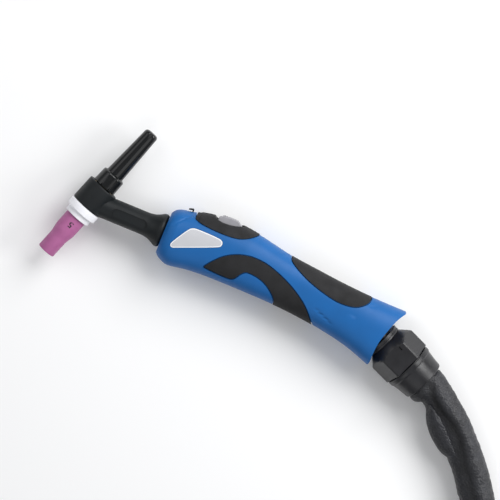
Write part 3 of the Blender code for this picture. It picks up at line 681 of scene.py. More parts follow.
def makeStrap(name, degrees, withHose):
    middle = Vector((*hosePlan["coilMiddle"], 0))
    turn = math.radians(hosePlan["coilStart"] - degrees)
    out = Vector((math.cos(turn), math.sin(turn), 0))
    side = Vector((-out.y, out.x, 0))
    circles = set()
    for point in cableLine:
        rel = point - middle
        rel.z = 0
        if rel.dot(out) > 0.08 and abs(rel.dot(side)) < 0.006:
            circles.add((round(rel.dot(out) * 1000, 1), round(point.z * 1000, 1), 8.0))
    if withHose:
        circles.add((hosePlan["turnRadius"] * 1000, hosePlan["height"] * 1000, 14.35))
    loop = hull([(r + size * math.cos(a), z + size * math.sin(a)) for r, z, size in circles
                 for a in [2 * math.pi * k / 48 for k in range(48)]])
    inner = [Vector(point) for point in loop]
    count = len(inner)
    reached = [0.0]
    for i in range(count):
        reached.append(reached[-1] + (inner[(i + 1) % count] - inner[i]).length)
    points, faces, uvs = [], [], []
    half, thick = strapPlan["width"] / 2, strapPlan["thickness"]
    for i in range(count):
        edge = (inner[(i + 1) % count] - inner[i - 1]).normalized()
        normal = Vector((edge.y, -edge.x))
        for lift, w in ((-0.15, -half), (thick * 0.6, -half), (thick, -half + 0.5), (thick, half - 0.5),
                        (thick * 0.6, half), (-0.15, half)):
            spot = inner[i] + normal * lift
            low = 0.25 if lift < 0 else 0.05
            points.append(middle + out * (spot.x / 1000) + side * (w / 1000)
                          + Vector((0, 0, max(spot.y, low) / 1000)))
    for i in range(count):
        j = (i + 1) % count
        for k in range(6):
            m = (k + 1) % 6
            faces.append((i * 6 + k, i * 6 + m, j * 6 + m, j * 6 + k))
            v0, v1 = reached[i] / 50, reached[i + 1] / 50
            uvs += [(k / 6, v0), ((k + 1) / 6, v0), ((k + 1) / 6, v1), (k / 6, v1)]
    mesh = bpy.data.meshes.new(name)
    mesh.from_pydata([tuple(point) for point in points], [], faces)
    alongUv(mesh, uvs)
    mesh.materials.append(webbing)
    faceOutwards(mesh)
    shade(mesh, 50)
    return ride(addObject(name, mesh), "hose_end", "cable_rubber")


straps = [makeStrap(f"coilStrap{i + 1}", degrees, i < len(strapPlan["all"]))
          for i, degrees in enumerate(strapPlan["all"] + strapPlan["cableOnly"])]
print("coil strapped")


# Geometry Nodes: a tree with named inputs, run once and kept as a plain mesh

def newTree(name, inputs):
    tree = bpy.data.node_groups.new(name, "GeometryNodeTree")
    tree.interface.new_socket("Geometry", in_out="INPUT", socket_type="NodeSocketGeometry")
    tree.interface.new_socket("Geometry", in_out="OUTPUT", socket_type="NodeSocketGeometry")
    for label, kind, value in inputs:
        socket = tree.interface.new_socket(label, in_out="INPUT", socket_type=kind)
        if value is not None:
            socket.default_value = value
    return tree, addNode(tree, "NodeGroupInput"), addNode(tree, "NodeGroupOutput")


def barSize(tree, start, across):
    return addNode(tree, "ShaderNodeCombineXYZ", {"X": start.outputs[across], "Y": start.outputs[across],
                                                  "Z": start.outputs["Length"]}).outputs["Vector"]


def endTree(tree, start, end, instances):
    solid = addNode(tree, "GeometryNodeRealizeInstances", {"Geometry": instances})
    final = addNode(tree, "GeometryNodeSetMaterial", {"Geometry": solid.outputs["Geometry"],
                                                      "Material": start.outputs["Material"]})
    tree.links.new(final.outputs["Geometry"], end.inputs["Geometry"])
    return tree


def runTree(name, tree, guide, values):
    # guide is a mesh of points and edges in row metres
    made = addObject(name, guide)
    modifier = made.modifiers.new("build", "NODES")
    modifier.node_group = tree
    for item in tree.interface.items_tree:
        if item.item_type == "SOCKET" and item.in_out == "INPUT" and item.name in values:
            modifier[item.identifier] = values[item.name]
    mesh = plainMesh(made)
    made.modifiers.clear()
    made.data = mesh
    shade(mesh, 35)
    return made


def stitchTree():
    tree, start, end = newTree("seamStitches", [
        ("Spacing", "NodeSocketFloat", 0.005), ("Length", "NodeSocketFloat", 0.0032),
        ("Thickness", "NodeSocketFloat", 0.0008), ("Material", "NodeSocketMaterial", None)])
    curve = addNode(tree, "GeometryNodeMeshToCurve", {"Mesh": start.outputs["Geometry"]})
    even = addNode(tree, "GeometryNodeResampleCurve", {"Curve": curve.outputs["Curve"],
                                                       "Length": start.outputs["Spacing"]}, mode="LENGTH")
    bead = addNode(tree, "GeometryNodeMeshUVSphere", {"Segments": 6, "Rings": 5, "Radius": 0.5})
    along = addNode(tree, "GeometryNodeInputTangent")
    turn = addNode(tree, "FunctionNodeAlignRotationToVector", {"Vector": along.outputs["Tangent"]}, axis="Z")
    placed = addNode(tree, "GeometryNodeInstanceOnPoints", {
        "Points": even.outputs["Curve"], "Instance": bead.outputs["Mesh"],
        "Rotation": turn.outputs["Rotation"], "Scale": barSize(tree, start, "Thickness")})
    return endTree(tree, start, end, placed.outputs["Instances"])


def ribTree():
    # a rib on each guide point, its length along the point's own axis, lying across the outward direction
    tree, start, end = newTree("gripRibs", [
        ("Ribs", "NodeSocketInt", 24), ("Radius", "NodeSocketFloat", 0.0176),
        ("Length", "NodeSocketFloat", 0.015), ("Width", "NodeSocketFloat", 0.0014),
        ("Material", "NodeSocketMaterial", None)])
    ring = addNode(tree, "GeometryNodeMeshCircle", {"Vertices": start.outputs["Ribs"],
                                                    "Radius": start.outputs["Radius"]})
    bar = addNode(tree, "GeometryNodeMeshCylinder", {"Vertices": 8, "Side Segments": 1, "Radius": 0.5,
                                                     "Depth": 1.0})
    ribs = addNode(tree, "GeometryNodeInstanceOnPoints", {
        "Points": ring.outputs["Mesh"], "Instance": bar.outputs["Mesh"],
        "Scale": barSize(tree, start, "Width")})
    normal = addNode(tree, "GeometryNodeInputNormal")
    turn = addNode(tree, "FunctionNodeAlignRotationToVector", {"Vector": normal.outputs["Normal"]}, axis="Z")
    placed = addNode(tree, "GeometryNodeInstanceOnPoints", {
        "Points": start.outputs["Geometry"], "Instance": ribs.outputs["Instances"],
        "Rotation": turn.outputs["Rotation"]})
    return endTree(tree, start, end, placed.outputs["Instances"])


def screwTree():
    tree, start, end = newTree("panHeadScrews", [
        ("Head Radius", "NodeSocketFloat", 0.0029), ("Head Height", "NodeSocketFloat", 0.0022),
        ("Shank Radius", "NodeSocketFloat", 0.0015), ("Shank Length", "NodeSocketFloat", 0.0215),
        ("Material", "NodeSocketMaterial", None)])
    head = addNode(tree, "GeometryNodeMeshCylinder", {
        "Vertices": 32, "Radius": start.outputs["Head Radius"], "Depth": start.outputs["Head Height"]})
    shank = addNode(tree, "GeometryNodeMeshCylinder", {
        "Vertices": 20, "Radius": start.outputs["Shank Radius"], "Depth": start.outputs["Shank Length"]})
    lower = addNode(tree, "GeometryNodeTransform", {"Geometry": shank.outputs["Mesh"],
                                                    "Translation": (0, 0, 0.0113)})
    recess = addNode(tree, "GeometryNodeMeshBoolean", {"Mesh 1": head.outputs["Mesh"]},
                     operation="DIFFERENCE", solver="MANIFOLD")
    for size in ((0.0034, 0.0007, 0.0024), (0.0007, 0.0034, 0.0024)):
        bar = addNode(tree, "GeometryNodeMeshCube", {"Size": size})
        down = addNode(tree, "GeometryNodeTransform", {"Geometry": bar.outputs["Mesh"],
                                                       "Translation": (0, 0, -0.0011)})
        tree.links.new(down.outputs["Geometry"], recess.inputs["Mesh 2"])
    whole = addNode(tree, "GeometryNodeMeshBoolean", operation="UNION", solver="MANIFOLD")
    tree.links.new(recess.outputs["Mesh"], whole.inputs["Mesh 2"])
    tree.links.new(lower.outputs["Geometry"], whole.inputs["Mesh 2"])
    placed = addNode(tree, "GeometryNodeInstanceOnPoints", {"Points": start.outputs["Geometry"],
                                                            "Instance": whole.outputs["Mesh"]})
    return endTree(tree, start, end, placed.outputs["Instances"])


def guideMesh(name, points, edges=(), faces=()):
    mesh = bpy.data.meshes.new(name)
    mesh.from_pydata([tuple(point) for point in points], list(edges), list(faces))
    return mesh


# The hose's folded flap and its stitched seam

flapPlan = {"reach": [(17, 12.6), (20.4, 14.9), (23.5, 17.6), (29.3, 21.0), (37, 23.0), (45.7, 23.9),
                      (54, 23.4), (63, 21.8), (68, 19.4), (72, 16.6), (76, 13.5)], "thickness": 1.9,
            "side": -1.0}  # it lies on the lower side of the hose as it leaves the clamp


def hoseFrame(far):
    # the hose's place and directions at a distance along its line, in metres from the clamp's mouth
    reached = far + sleeveOut
    total = 0.0
    for before, after in zip(hoseLine, hoseLine[1:]):
        step = (after - before).length
        if total + step >= reached:
            ahead = (after - before).normalized()
            left = Vector((-ahead.y, ahead.x, 0)).normalized()
            return before + ahead * (reached - total), left
        total += step
    return hoseLine[-1], left


def makeFlap(plan):
    # left of travel lies away from the bend, so the flap is on the other side
    thick = plan["thickness"]
    rings = []
    for i in range(71):
        far = 17.0 + 59.0 * i / 70
        middle, left = hoseFrame(far / 1000)
        reach = smooth(plan["reach"], far)
        sway = 0.5 * noise.noise(Vector((far / 7, 3.1, 0)))
        edge = reach - 2.0
        section = [(8.5, 9.0), (max(edge * 0.62, 9.2), 10.2), (edge * 0.85, 8.6 + sway), (edge, 5.6 + sway),
                   (reach - 0.6, 3.6 + sway), (reach, 1.6 + sway), (reach - 0.5, 1.4 - thick + sway),
                   (reach - 2.0, 0.9 - thick + sway), (max(reach - 5.0, 10.2), 0.6 - thick), (9.6, -1.5),
                   (7.5, 0.0)]
        fine = rounded(section, 1.6, closed=True, steps=3)
        rings.append([middle + left * (n * plan["side"] / 1000) + Vector((0, 0, z / 1000)) for n, z in fine])
    points = [tuple(point) for ring in rings for point in ring]
    faces = ringFaces(len(rings), len(rings[0]))
    made = makePiece("leatherFlap", points, faces, grainedLeather, 60, inRow=True)
    return ride(made, "hose_end", "leather")


flap = makeFlap(flapPlan)

seamTurn = math.radians(-38)
seam = []
for i, (middle, reached) in enumerate(zip(hoseLine, reachedRings)):
    if not 0.075 < reached < 0.79:
        continue
    ahead = (hoseLine[min(i + 1, len(hoseLine) - 1)] - hoseLine[max(i - 1, 0)]).normalized()
    left = Vector((0, 0, 1)).cross(ahead).normalized()
    top = ahead.cross(left)
    far = hoseRadius(reached, seamTurn) + 0.0001
    seam.append(middle + (left * math.cos(seamTurn) + top * math.sin(seamTurn)) * far)
seamGuide = guideMesh("seamGuide", seam, [(i, i + 1) for i in range(len(seam) - 1)])
stitches = runTree("leatherStitches", stitchTree(), seamGuide, {
    "Spacing": 0.0052, "Length": 0.0036, "Thickness": 0.001, "Material": waxedThread})
ride(stitches, "hose_end", "cable_rubber")
print("hose stitched")


# Machine plug at the cable's end

plugPlan = {"ribs": 26}
plugJoint = next(joint for joint in frame["joints"] if joint["name"] == "plug_lock_turn")
plugAngle = math.degrees(math.atan2(plugJoint["axis"][1], plugJoint["axis"][0]))
plugMiddle = np.array(plugJoint["pos_m"]) * 1000 + rowShift


def makePlug():
    boot = [(0, 24)]
    for i in range(60, -1, -1):
        z = 0.6 + 23.4 * i / 60
        body = smooth([(0, 9.4), (14, 10.6), (20, 12.3), (24, 12.4)], z)
        boot.append((body - (0.8 * (0.5 - 0.5 * math.cos(z / 3.6 * 2 * math.pi)) if 2 < z < 18 else 0), z))
    boot.append((0, 0.6))
    boot = turned("plugBoot", boot, bootRubber, plugMiddle, plugAngle, 56)
    ride(boot, "hose_end", "cable_rubber", "plug_boot")
    body = rounded([(0, 70), (13.8, 70), (13.8, 51), (16.4, 51), (16.4, 44), (15.6, 43), (15.6, 34),
                    (16.4, 33), (16.4, 29), (14, 24.3), (0, 24.3)], 0.8)
    body = turned("plugBody", body, blackPhenolic, plugMiddle, plugAngle)
    ride(body, "hose_end", "phenolic", "plug_body")
    ring = rounded([(16.9, 70.5), (16.9, 52.8), (16.3, 51.4), (14.2, 51.4), (14.2, 71.5), (16.3, 71.5)], 0.5,
                   closed=True)
    lock = turned("plugRing", ring, blackNylon, plugMiddle, plugAngle)
    ride(lock, "plug_lock", "black_nylon", "plug_ring")
    # grip bars lie along the ring, on a guide point whose normal is the plug's axis
    start, along, side = turnFrame(plugMiddle, plugAngle)
    middle = toRow(start + along * 61.4)[0]
    corners = [Vector(middle) + (Vector(side) * c + Vector((0, 0, 1)) * s) * 1e-5
               for c, s in ((1, 0), (-0.5, 0.87), (-0.5, -0.87))]
    guide = guideMesh("ringGuide", corners, faces=[(0, 1, 2)])
    bars = runTree("plugRingBars", ribTree(), guide, {"Ribs": plugPlan["ribs"], "Radius": 0.0168,
                                                      "Length": 0.0155, "Width": 0.0015,
                                                      "Material": blackNylon})
    keep = bmesh.new()
    keep.from_mesh(bars.data)
    bmesh.ops.remove_doubles(keep, verts=keep.verts, dist=3e-5)
    keep.to_mesh(bars.data)
    keep.free()
    ride(bars, "plug_lock", "black_nylon")
    return [boot, body, lock, bars]


plugPins = [frame["nodes"][name] for name in ("power_pin", "gas_spigot", "contact_pin_1", "contact_pin_2")]
cordPieces = makePlug() + plugPins


# Head: z runs along the head's axis towards the back cap

headMiddle = (-65.0, 0.0)
ballMiddle = (180.4, -5.5)
headPlan = {"barrel": 13.6, "neck": 9.6, "core": 9.0, "nozzle": 9.15, "mouth": 7.65, "flutes": 3,
            "fluteDepth": 1.65}


def onHead(name, profile, look, steps=80, shape=None, sharp=32.0):
    return turned(name, profile, look, headMiddle, headAngle, steps, shape, sharp)


def makeHead(plan):
    cup = [(plan["nozzle"] - 0.25, -8.3), (plan["nozzle"], -9.0)]
    waist = [(-40.6, plan["mouth"]), (-38.6, 7.85), (-35.3, 8.4), (-32, 8.95), (-29.6, plan["nozzle"])]
    for i in range(1, 22):
        z = -30.2 - 10.2 * i / 21
        cup.append((smooth(waist, z), z))
    cup += [(plan["mouth"], -54.2), (plan["mouth"] - 0.25, -54.8), (plan["mouth"] - 0.8, -55), (4.5, -55),
            (4.0, -54.5), (4.0, -38), (6.7, -31), (6.7, -8.3)]
    ride(onHead("ceramicNozzle", cup, pinkAlumina, 96), "nozzle", "alumina", "ceramic_nozzle")
    shield = rounded([(13.85, -5.7), (13.85, -12.2), (11.3, -12.2), (11.3, -17.2), (9.5, -17.2), (9.5, -8.0),
                      (6.8, -8.0), (6.8, -5.7)], 0.5, closed=True)
    ride(onHead("ptfeShield", shield, whitePtfe, 96), "shield", "ptfe", "heat_shield")

    outer = [(0, 75.6), (3.4, 75.5), (4.8, 75.1), (5.7, 74.3), (6.15, 73.1)]
    outer += [(6.15 + 1.6 * i / 16, 73.1 - 43.5 * i / 16) for i in range(1, 17)]
    outer += [(9.4, 28.8), (9.9, 28.3), (10.05, 27.6), (10.4, 16.6), (10.1, 16.3)]
    last = len(outer)
    inner = [(8.9, 16.3), (8.9, 18.3), (6.2, 18.3), (6.2, 6.5), (2.6, 6.5), (2.6, 70.5), (0, 70.5)]

    def fluted(turn, radius, z, index):
        if index >= last or index < 3:
            return radius
        share = math.cos(plan["flutes"] * turn / 2 + 0.14) ** 2
        groove = max(0.0, (share - 0.68) / 0.32) ** 0.85
        fade = min(1.0, (74.6 - z) / 3.0)
        return radius - plan["fluteDepth"] * groove * max(fade, 0)

    ride(onHead("backCap", outer + inner, blackPhenolic, 144, fluted, 40), "cap", "phenolic", "back_cap")
    ride(onHead("capSeal", rounded([(8.5, 18.0), (8.5, 15.75), (6.6, 15.75), (6.6, 18.0)], 0.9, closed=True),
                sealRubber, 64), "cap_seal", "seal_rubber", "back_cap_seal")


def makeCover(plan):
    neck = [(0, 14), (11, 14), (11, -0.3), (12.6, -0.3), (13.5, -0.9), (14.05, -2.2), (14.05, -3.8),
            (13.4, -5.3), (12.4, -7.0), (11.2, -9.4), (10.3, -12), (9.8, -15), (plan["neck"], -18),
            (plan["neck"], -55.5), (0, -55.5)]
    cover = turned("headCover", neck, headRubber, (0, 0), 0, 80)
    barrel = onHead("coverBarrel", rounded([(0, 15.75), (plan["barrel"], 15.75), (plan["barrel"], -5.4),
                                           (0, -5.4)], 0.9), None, 96)
    coreRoom = plan["core"] + gap
    bore = onHead("coverBore", [(0, 21), (coreRoom, 21), (coreRoom, -11), (0, -11)], None, 64)
    passage = turned("coverPassage", [(0, 20), (4.3, 20), (4.3, -61.3), (0, -61.3)], None, (0, 0), 0, 32)
    steps = [("UNION", barrel), ("DIFFERENCE", bore), ("DIFFERENCE", passage)]
    recesses = []
    for side in (-1, 1):
        for inset, depth in ((0.0, 8.6), (1.1, None)):
            radius = 4.1 - inset
            outline = []
            for x, first in ((-41.2, 90), (-18.8, -90)):
                for i in range(13):
                    turn = math.radians(first + 180 * i / 12)
                    outline.append((x + radius * math.cos(turn), -0.9 + radius * math.sin(turn)))
            if depth:
                low, high = sorted((side * depth, side * 13.0))
                recesses.append(prism(f"recess{side + 1}", outline, low, high))
                steps.append(("DIFFERENCE", recesses[-1]))
            else:
                low, high = sorted((side * 6.0, side * 8.95))
                recesses.append(prism(f"recessPad{side + 1}", outline, low, high))
                steps.append(("UNION", recesses[-1]))
    carve(cover, steps, 38)
    drop(barrel, bore, passage, *recesses)
    ride(cover, "handle", "head_rubber", "head_cover")


def makeNumeral():
    # the cup's size number, bent round its surface
    data = bpy.data.curves.new("cupNumeral", "FONT")
    data.body = "5"
    data.size = 7.0
    data.offset = 0.1
    data.extrude = 0.12
    data.align_x = data.align_y = "CENTER"
    made = addObject("cupNumeral", data)
    mesh = plainMesh(made)
    drop(made)
    form = bmesh.new()
    form.from_mesh(mesh)
    bmesh.ops.remove_doubles(form, verts=form.verts, dist=1e-4)
    start, along, side = turnFrame(headMiddle, headAngle)
    for vert in form.verts:
        turn = vert.co.x * 1.2 / headPlan["nozzle"] - 0.12
        far = headPlan["nozzle"] + vert.co.z * 0.3
        z = -24.4 - vert.co.y
        spot = start + along * z + (np.array([0, 0, 1.0]) * math.cos(turn) + side * math.sin(turn)) * far
        vert.co = toRow(spot)[0]
    bmesh.ops.recalc_face_normals(form, faces=form.faces)
    if form.calc_volume(signed=True) < 0:
        bmesh.ops.reverse_faces(form, faces=form.faces)
    form.to_mesh(mesh)
    form.free()
    mesh.materials.clear()
    mesh.materials.append(firedInk)
    ride(addObject("cupNumeral", mesh), "nozzle", "alumina")


makeHead(headPlan)
makeCover(headPlan)
makeNumeral()
print("head made")


# Handle: side outline and half width by distance along X

handlePlan = {
    "top": [(0, 16.8), (2.5, 20.0), (7, 22.2), (13, 23.3), (20, 24.8), (31, 27.2), (46, 28.6), (58, 28.6),
            (74, 27.2), (104, 21.6), (130, 18.8), (153, 16.6), (180, 15.1), (212, 14.8)],
    "bottom": [(0, -18.0), (2.5, -20.6), (7, -23.0), (12.5, -24.3), (28, -22.0), (46, -20.8), (92, -20.9),
               (115, -21.8), (139, -24.1), (158, -27.0), (173, -30.2), (186, -34.2), (197, -38.2),
               (212, -45.0)],
    "halfWidth": [(0, 15.6), (2.5, 18.4), (7, 20.2), (13, 20.8), (60, 20.8), (86, 19.4), (115, 18.6),
                  (150, 19.4), (176, 20.5), (212, 20.8)],
    "squareness": 2.6,
    "wall": 3.0,
    "groove": 0.85,
    "creases": [((4.0, 8.8), (17.4, 23.2), 0.4, 0.8), ((136.0, -9.2), (153.2, -16.2), 0.5, 0.9),
                ((158.5, -2.7), (170.6, -3.7), 0.5, 0.9), ((176.9, 9.3), (183.2, 9.9), 0.4, 0.8)],
    "screws": [(24, -16), (88, 17.2), (80, -13), (158, -15)],
}
arch = [(40.4, -12.9), (44.9, -6.2), (52.7, 2.0), (62.7, 7.4), (73.3, 9.8), (85.2, 9.2), (95.1, 6.6),
        (104.2, 3.2), (113.3, -1.0), (121.8, -6.0), (130.4, -12.3), (142, -26), (105.6, -26), (104.9, -17.9),
        (100.7, -12.5), (94.9, -8.0), (89.2, -5.1), (83.2, -3.5), (76.3, -3.0), (72.9, -3.8), (69.6, -7.6),
        (67.5, -11.8), (64.6, -13.9), (53.5, -14.0)]
rearGrip = [(105.3, 30), (104.9, 19.3), (110.2, 15.6), (121.3, 10.3), (131.7, 6.8), (141.6, 4.3),
            (148.9, 2.9), (155.8, 2.3), (166.6, 3.5), (173.7, 8.0), (177.7, 12.9), (179, 30)]
badge = [(10.6, -8.1), (8.4, -6.6), (9.1, -3.4), (17.6, 10.8), (20.6, 13.1), (24.2, 13.8), (44.1, 13.6),
         (47.4, 11.7), (47.6, 8.5), (45.4, 6.4)]
panel = [(19.6, 20.6), (24.9, 19.3), (30.8, 18.5), (41.7, 18.0), (52.6, 18.3), (59.5, 19.5), (65.5, 22.2),
         (70.2, 25.4), (74.4, 29), (74.4, 36), (20.4, 36)]
rearRim = [(207.0, 30), (207.0, 16.2), (208.1, 15.4), (208.6, 14.4), (208.1, 13.2), (206.4, 11.6),
           (204.0, 8.4), (201.2, 3.2), (198.4, -5), (196, -12.8), (195, -20), (195, -27), (195.6, -33.5),
           (195.5, -36.4),
           (194.6, -37.6), (193.2, -38.0), (191.6, -37.9), (191.6, -50), (232, -50), (232, 30)]

table = np.arange(-2.0, 214.0, 0.25)
sides = {key: np.array([smooth(handlePlan[key], x) for x in table]) for key in ("top", "bottom", "halfWidth")}
sides["halfWidth"] = np.minimum(sides["halfWidth"], sideFlat - 0.3)


def handleSizes(x):
    return [np.interp(x, table, sides[key]) for key in ("top", "bottom", "halfWidth")]


def handlePoints(x, turn, offset):
    # turn is in degrees: 90 is the trigger side and 0 straight up
    top, bottom, width = handleSizes(np.asarray(x, float))
    top, bottom, width = top + offset, bottom - offset, width + offset
    across, up = np.cos(np.radians(turn)), np.sin(np.radians(turn))
    power = 2 / handlePlan["squareness"]
    y = (top + bottom) / 2 + np.sign(up) * np.abs(up) ** power * (top - bottom) / 2
    z = np.sign(across) * np.abs(across) ** power * width
    return np.stack([np.broadcast_to(x, y.shape), y, z], -1)


def handleField(points, offset=0.0):
    top, bottom, width = handleSizes(points[:, 0])
    top, bottom, width = top + offset, bottom - offset, width + offset
    power = handlePlan["squareness"]
    u = np.abs((points[:, 1] - (top + bottom) / 2) / ((top - bottom) / 2))
    w = np.abs(points[:, 2] / width)
    return (u**power + w**power) ** (1 / power) - 1, (top - bottom) / 2


def handleNormals(points, offset=0.0):
    step = 0.05
    found = np.zeros_like(points)
    for axis in range(3):
        shift = np.zeros(3)
        shift[axis] = step
        found[:, axis] = handleField(points + shift, offset)[0] - handleField(points - shift, offset)[0]
    return found / np.linalg.norm(found, axis=1)[:, None]


def creaseDepth(x, y):
    depth = np.zeros_like(x)
    for start, end, deep, width in handlePlan["creases"]:
        a, b = np.array(start), np.array(end)
        along = b - a
        share = np.clip(((x - a[0]) * along[0] + (y - a[1]) * along[1]) / along.dot(along), 0, 1)
        apart = np.hypot(x - a[0] - along[0] * share, y - a[1] - along[1] * share)
        depth += deep * np.exp(-((apart / width) ** 2)) * np.clip(4 * share * (1.15 - share), 0, 1)
    return depth


def polishSkin(piece, offset=0.0, creased=False, sharp=32.0):
    # gives the cut mesh the true surface's normals, and presses the creases in
    mesh = piece.data
    points = np.zeros(len(mesh.vertices) * 3)
    mesh.vertices.foreach_get("co", points)
    points = points.reshape(-1, 3) * 1000 + rowShift
    error, half = handleField(points, offset)
    onSkin = np.abs(error * half) < 0.06
    normals = handleNormals(points, offset)
    if creased:
        depth = creaseDepth(points[:, 0], points[:, 1])
        step = 0.1
        slope = np.zeros_like(points)
        slope[:, 0] = (creaseDepth(points[:, 0] + step, points[:, 1]) - depth) / step
        slope[:, 1] = (creaseDepth(points[:, 0], points[:, 1] + step) - depth) / step
        slope -= normals * (slope * normals).sum(1)[:, None]
        moved = points - normals * depth[:, None]
        points[onSkin] = moved[onSkin]
        normals = normals + slope
        normals /= np.linalg.norm(normals, axis=1)[:, None]
        mesh.vertices.foreach_set("co", toRow(points).ravel())
        mesh.update()
    mesh.shade_smooth()
    mesh.set_sharp_from_angle(angle=math.radians(sharp))
    corners = np.zeros(len(mesh.loops) * 3)
    mesh.corner_normals.foreach_get("vector", corners)
    corners = corners.reshape(-1, 3)
    for polygon in mesh.polygons:
        verts = list(polygon.vertices)
        if onSkin[verts].all() and Vector(polygon.normal).dot(Vector(normals[verts].mean(0))) > 0.75:
            for loop, vert in zip(polygon.loop_indices, verts):
                corners[loop] = normals[vert]
    mesh.normals_split_custom_set([tuple(c) for c in corners])


def ringed(name, rings, look=None):
    return makePiece(name, np.concatenate(rings), ringFaces(len(rings), len(rings[0])), look)


def halfArc(x, offset, side, count=44):
    points = handlePoints(np.full(count + 1, x), np.linspace(-90, 90, count + 1), offset)
    points[:, 2] = side * np.maximum(points[:, 2], gap / 2)
    return points


def stations(first, last, step=1.6):
    found = list(np.linspace(first, last, max(2, round((last - first) / step)) + 1))
    return found if first > 0 else [0.0, 0.35, 0.8, 1.3, 1.9, 2.5, 3.3, 4.2] + [x for x in found if x > 5]


def skinLayer(name, side, low, high, first, last, look=None):
    return ringed(name, [np.concatenate([halfArc(x, high, side), halfArc(x, low, side)[::-1]])
                         for x in stations(first, last)], look)


def core(name, offset, first, last):
    return ringed(name, [handlePoints(np.full(56, x), np.arange(56) * 360 / 56, offset)
                         for x in stations(first, last, 3.0)])


def grown(outline, by):
    count = len(outline)
    area = sum(outline[i - 1][0] * outline[i][1] - outline[i][0] * outline[i - 1][1] for i in range(count))
    turn = 1 if area > 0 else -1
    moved = []
    for i in range(count):
        here = Vector(outline[i])
        before = (here - Vector(outline[i - 1])).normalized()
        after = (Vector(outline[(i + 1) % count]) - here).normalized()
        normal = Vector((before.y + after.y, -before.x - after.x)) * turn
        normal.normalize()
        stretch = max(normal.dot(Vector((before.y, -before.x)) * turn), 0.5)
        moved.append(tuple(here + normal * by / stretch))
    return moved


def softened(outline, corner=1.6):
    # sharp corners get a small radius and shallow ones flow into a curve
    count = len(outline)
    found = []
    for i in range(count):
        here = Vector(outline[i])
        before, after = Vector(outline[i - 1]) - here, Vector(outline[(i + 1) % count]) - here
        sharpTurn = before.angle(-after) > math.radians(42)
        limit = corner if sharpTurn else 100.0
        start = here + before.normalized() * min(limit, before.length * 0.48)
        end = here + after.normalized() * min(limit, after.length * 0.48)
        found += easedCorner(start, here, end, 6)
    return found


def makeShells(plan):
    cavity = core("cavity", -plan["wall"], 3.0, 164)
    ball = addObject("socket", bpy.data.meshes.new("socket"))
    form = bmesh.new()
    bmesh.ops.create_uvsphere(form, u_segments=48, v_segments=32, radius=0.01815)
    bmesh.ops.translate(form, verts=form.verts, vec=rowPoint(*ballMiddle))
    form.to_mesh(ball.data)
    form.free()
    mouth = turned("mouth", [(0, 10), (11.3, 10), (11.3, -5), (0, -5)], None, (0, 0), 0, 56)
    passage = turned("passage", [(0, 180), (10.5, 180), (10.5, 155), (0, 155)], None, (0, -3), 0, 40)
    flare = core("flare", -2.3, 189.5, 212)
    rim = prism("rim", softened(rearRim, 0.8), -40, 40)
    slot = prism("slot", [(34.5, 14), (66, 14), (66, 40), (34.5, 40)], -9.6, 9.6)
    dish = prism("dishSlot", [(33.6, 22.4), (60.4, 22.4), (60.4, 40), (33.6, 40)], -13.8, 13.8)
    hookSlot = prism("hookSlot", [(14.7, 18), (16.4, 18), (16.4, 30), (14.7, 30)], -2.8, 2.8)
    panelTurns = np.linspace(6, 174, 37)
    panelCut = ringed("panelCut", [np.concatenate([handlePoints(np.full(37, x), panelTurns, 5),
                                                   handlePoints(np.full(37, x), panelTurns[::-1], -1.6)])
                                   for x in stations(13, 90)])
    outline = prism("panelOutline", grown(softened(panel), 0.55), -40, 40)
    carve(panelCut, [("INTERSECT", outline)])
    drop(outline)
    bossLimit = core("bossLimit", -1.0, 3.0, 205)
    openings = [ball, mouth, passage, flare, rim, slot, dish, hookSlot, panelCut]
    for name, side in (("left", 1), ("right", -1)):
        shell = ringed(f"{name}Shell", [halfArc(x, 0, side) for x in stations(0, 212, 1.5)], blueNylon)
        steps = [("DIFFERENCE", cavity)]
        extra = []
        low, high = sorted((side * gap / 2, side * 17.8))
        for x, y in plan["screws"]:
            boss = carve(prism(f"boss{x}", circle(x, y, 4.2), low, high), [("INTERSECT", bossLimit)])
            extra.append(boss)
            steps.append(("UNION", boss))
        steps += [("DIFFERENCE", opening) for opening in openings]
        for x, y in plan["screws"]:
            if side < 0:
                extra.append(prism(f"counterbore{x}", circle(x, y, 3.3), -30, -9))
                steps.append(("DIFFERENCE", extra[-1]))
            extra.append(prism(f"pilot{x}", circle(x, y, 1.8, 24), -12, 13))
            steps.append(("DIFFERENCE", extra[-1]))
        for label, shape, first, last, groove in (("arch", arch, 31, 146, plan["groove"]),
                                                  ("rear", rearGrip, 90, 186, plan["groove"]),
                                                  ("badge", badge, 3.2, 53, 0.25)):
            soft = softened(shape)
            pocket = skinLayer(f"{label}Pocket", side, -1.5 if label != "badge" else -1.1, 4, first, last)
            frameCut = prism(f"{label}Cut", grown(soft, groove), -40, 40)
            carve(pocket, [("INTERSECT", frameCut)])
            drop(frameCut)
            extra.append(pocket)
            steps.append(("DIFFERENCE", pocket))
        carve(shell, steps)
        drop(*extra)
        polishSkin(shell, 0.0, True)
        ride(shell, "handle", "blue_nylon", f"shell_{name}")
        for label, shape, first, last, deep, lift, look, slotName, node in (
                ("archGrip", arch, 31, 146, -1.2, 0.25, gripRubber, "grip_rubber", "arch_grip"),
                ("rearGrip", rearGrip, 90, 182, -1.2, 0.25, gripRubber, "grip_rubber", "rear_grip"),
                ("badgeBorder", badge, 3.2, 53, -0.8, 0.0, labelBorder, "label", "badge"),
                ("badgeFace", grown(softened(badge), -0.75), 3.2, 53, -0.4, 0.06, labelFilm, "label", None)):
            inlay = skinLayer(f"{name}{label[0].upper()}{label[1:]}", side, deep, lift, first, last, look)
            cutter = prism("inlayCut", shape if node is None else softened(shape), -40, 40)
            carve(inlay, [("INTERSECT", cutter)])
            drop(cutter)
            polishSkin(inlay, lift)
            ride(inlay, "handle", slotName, *([f"{node}_{name}"] if node else []))
    drop(cavity, bossLimit, *openings)


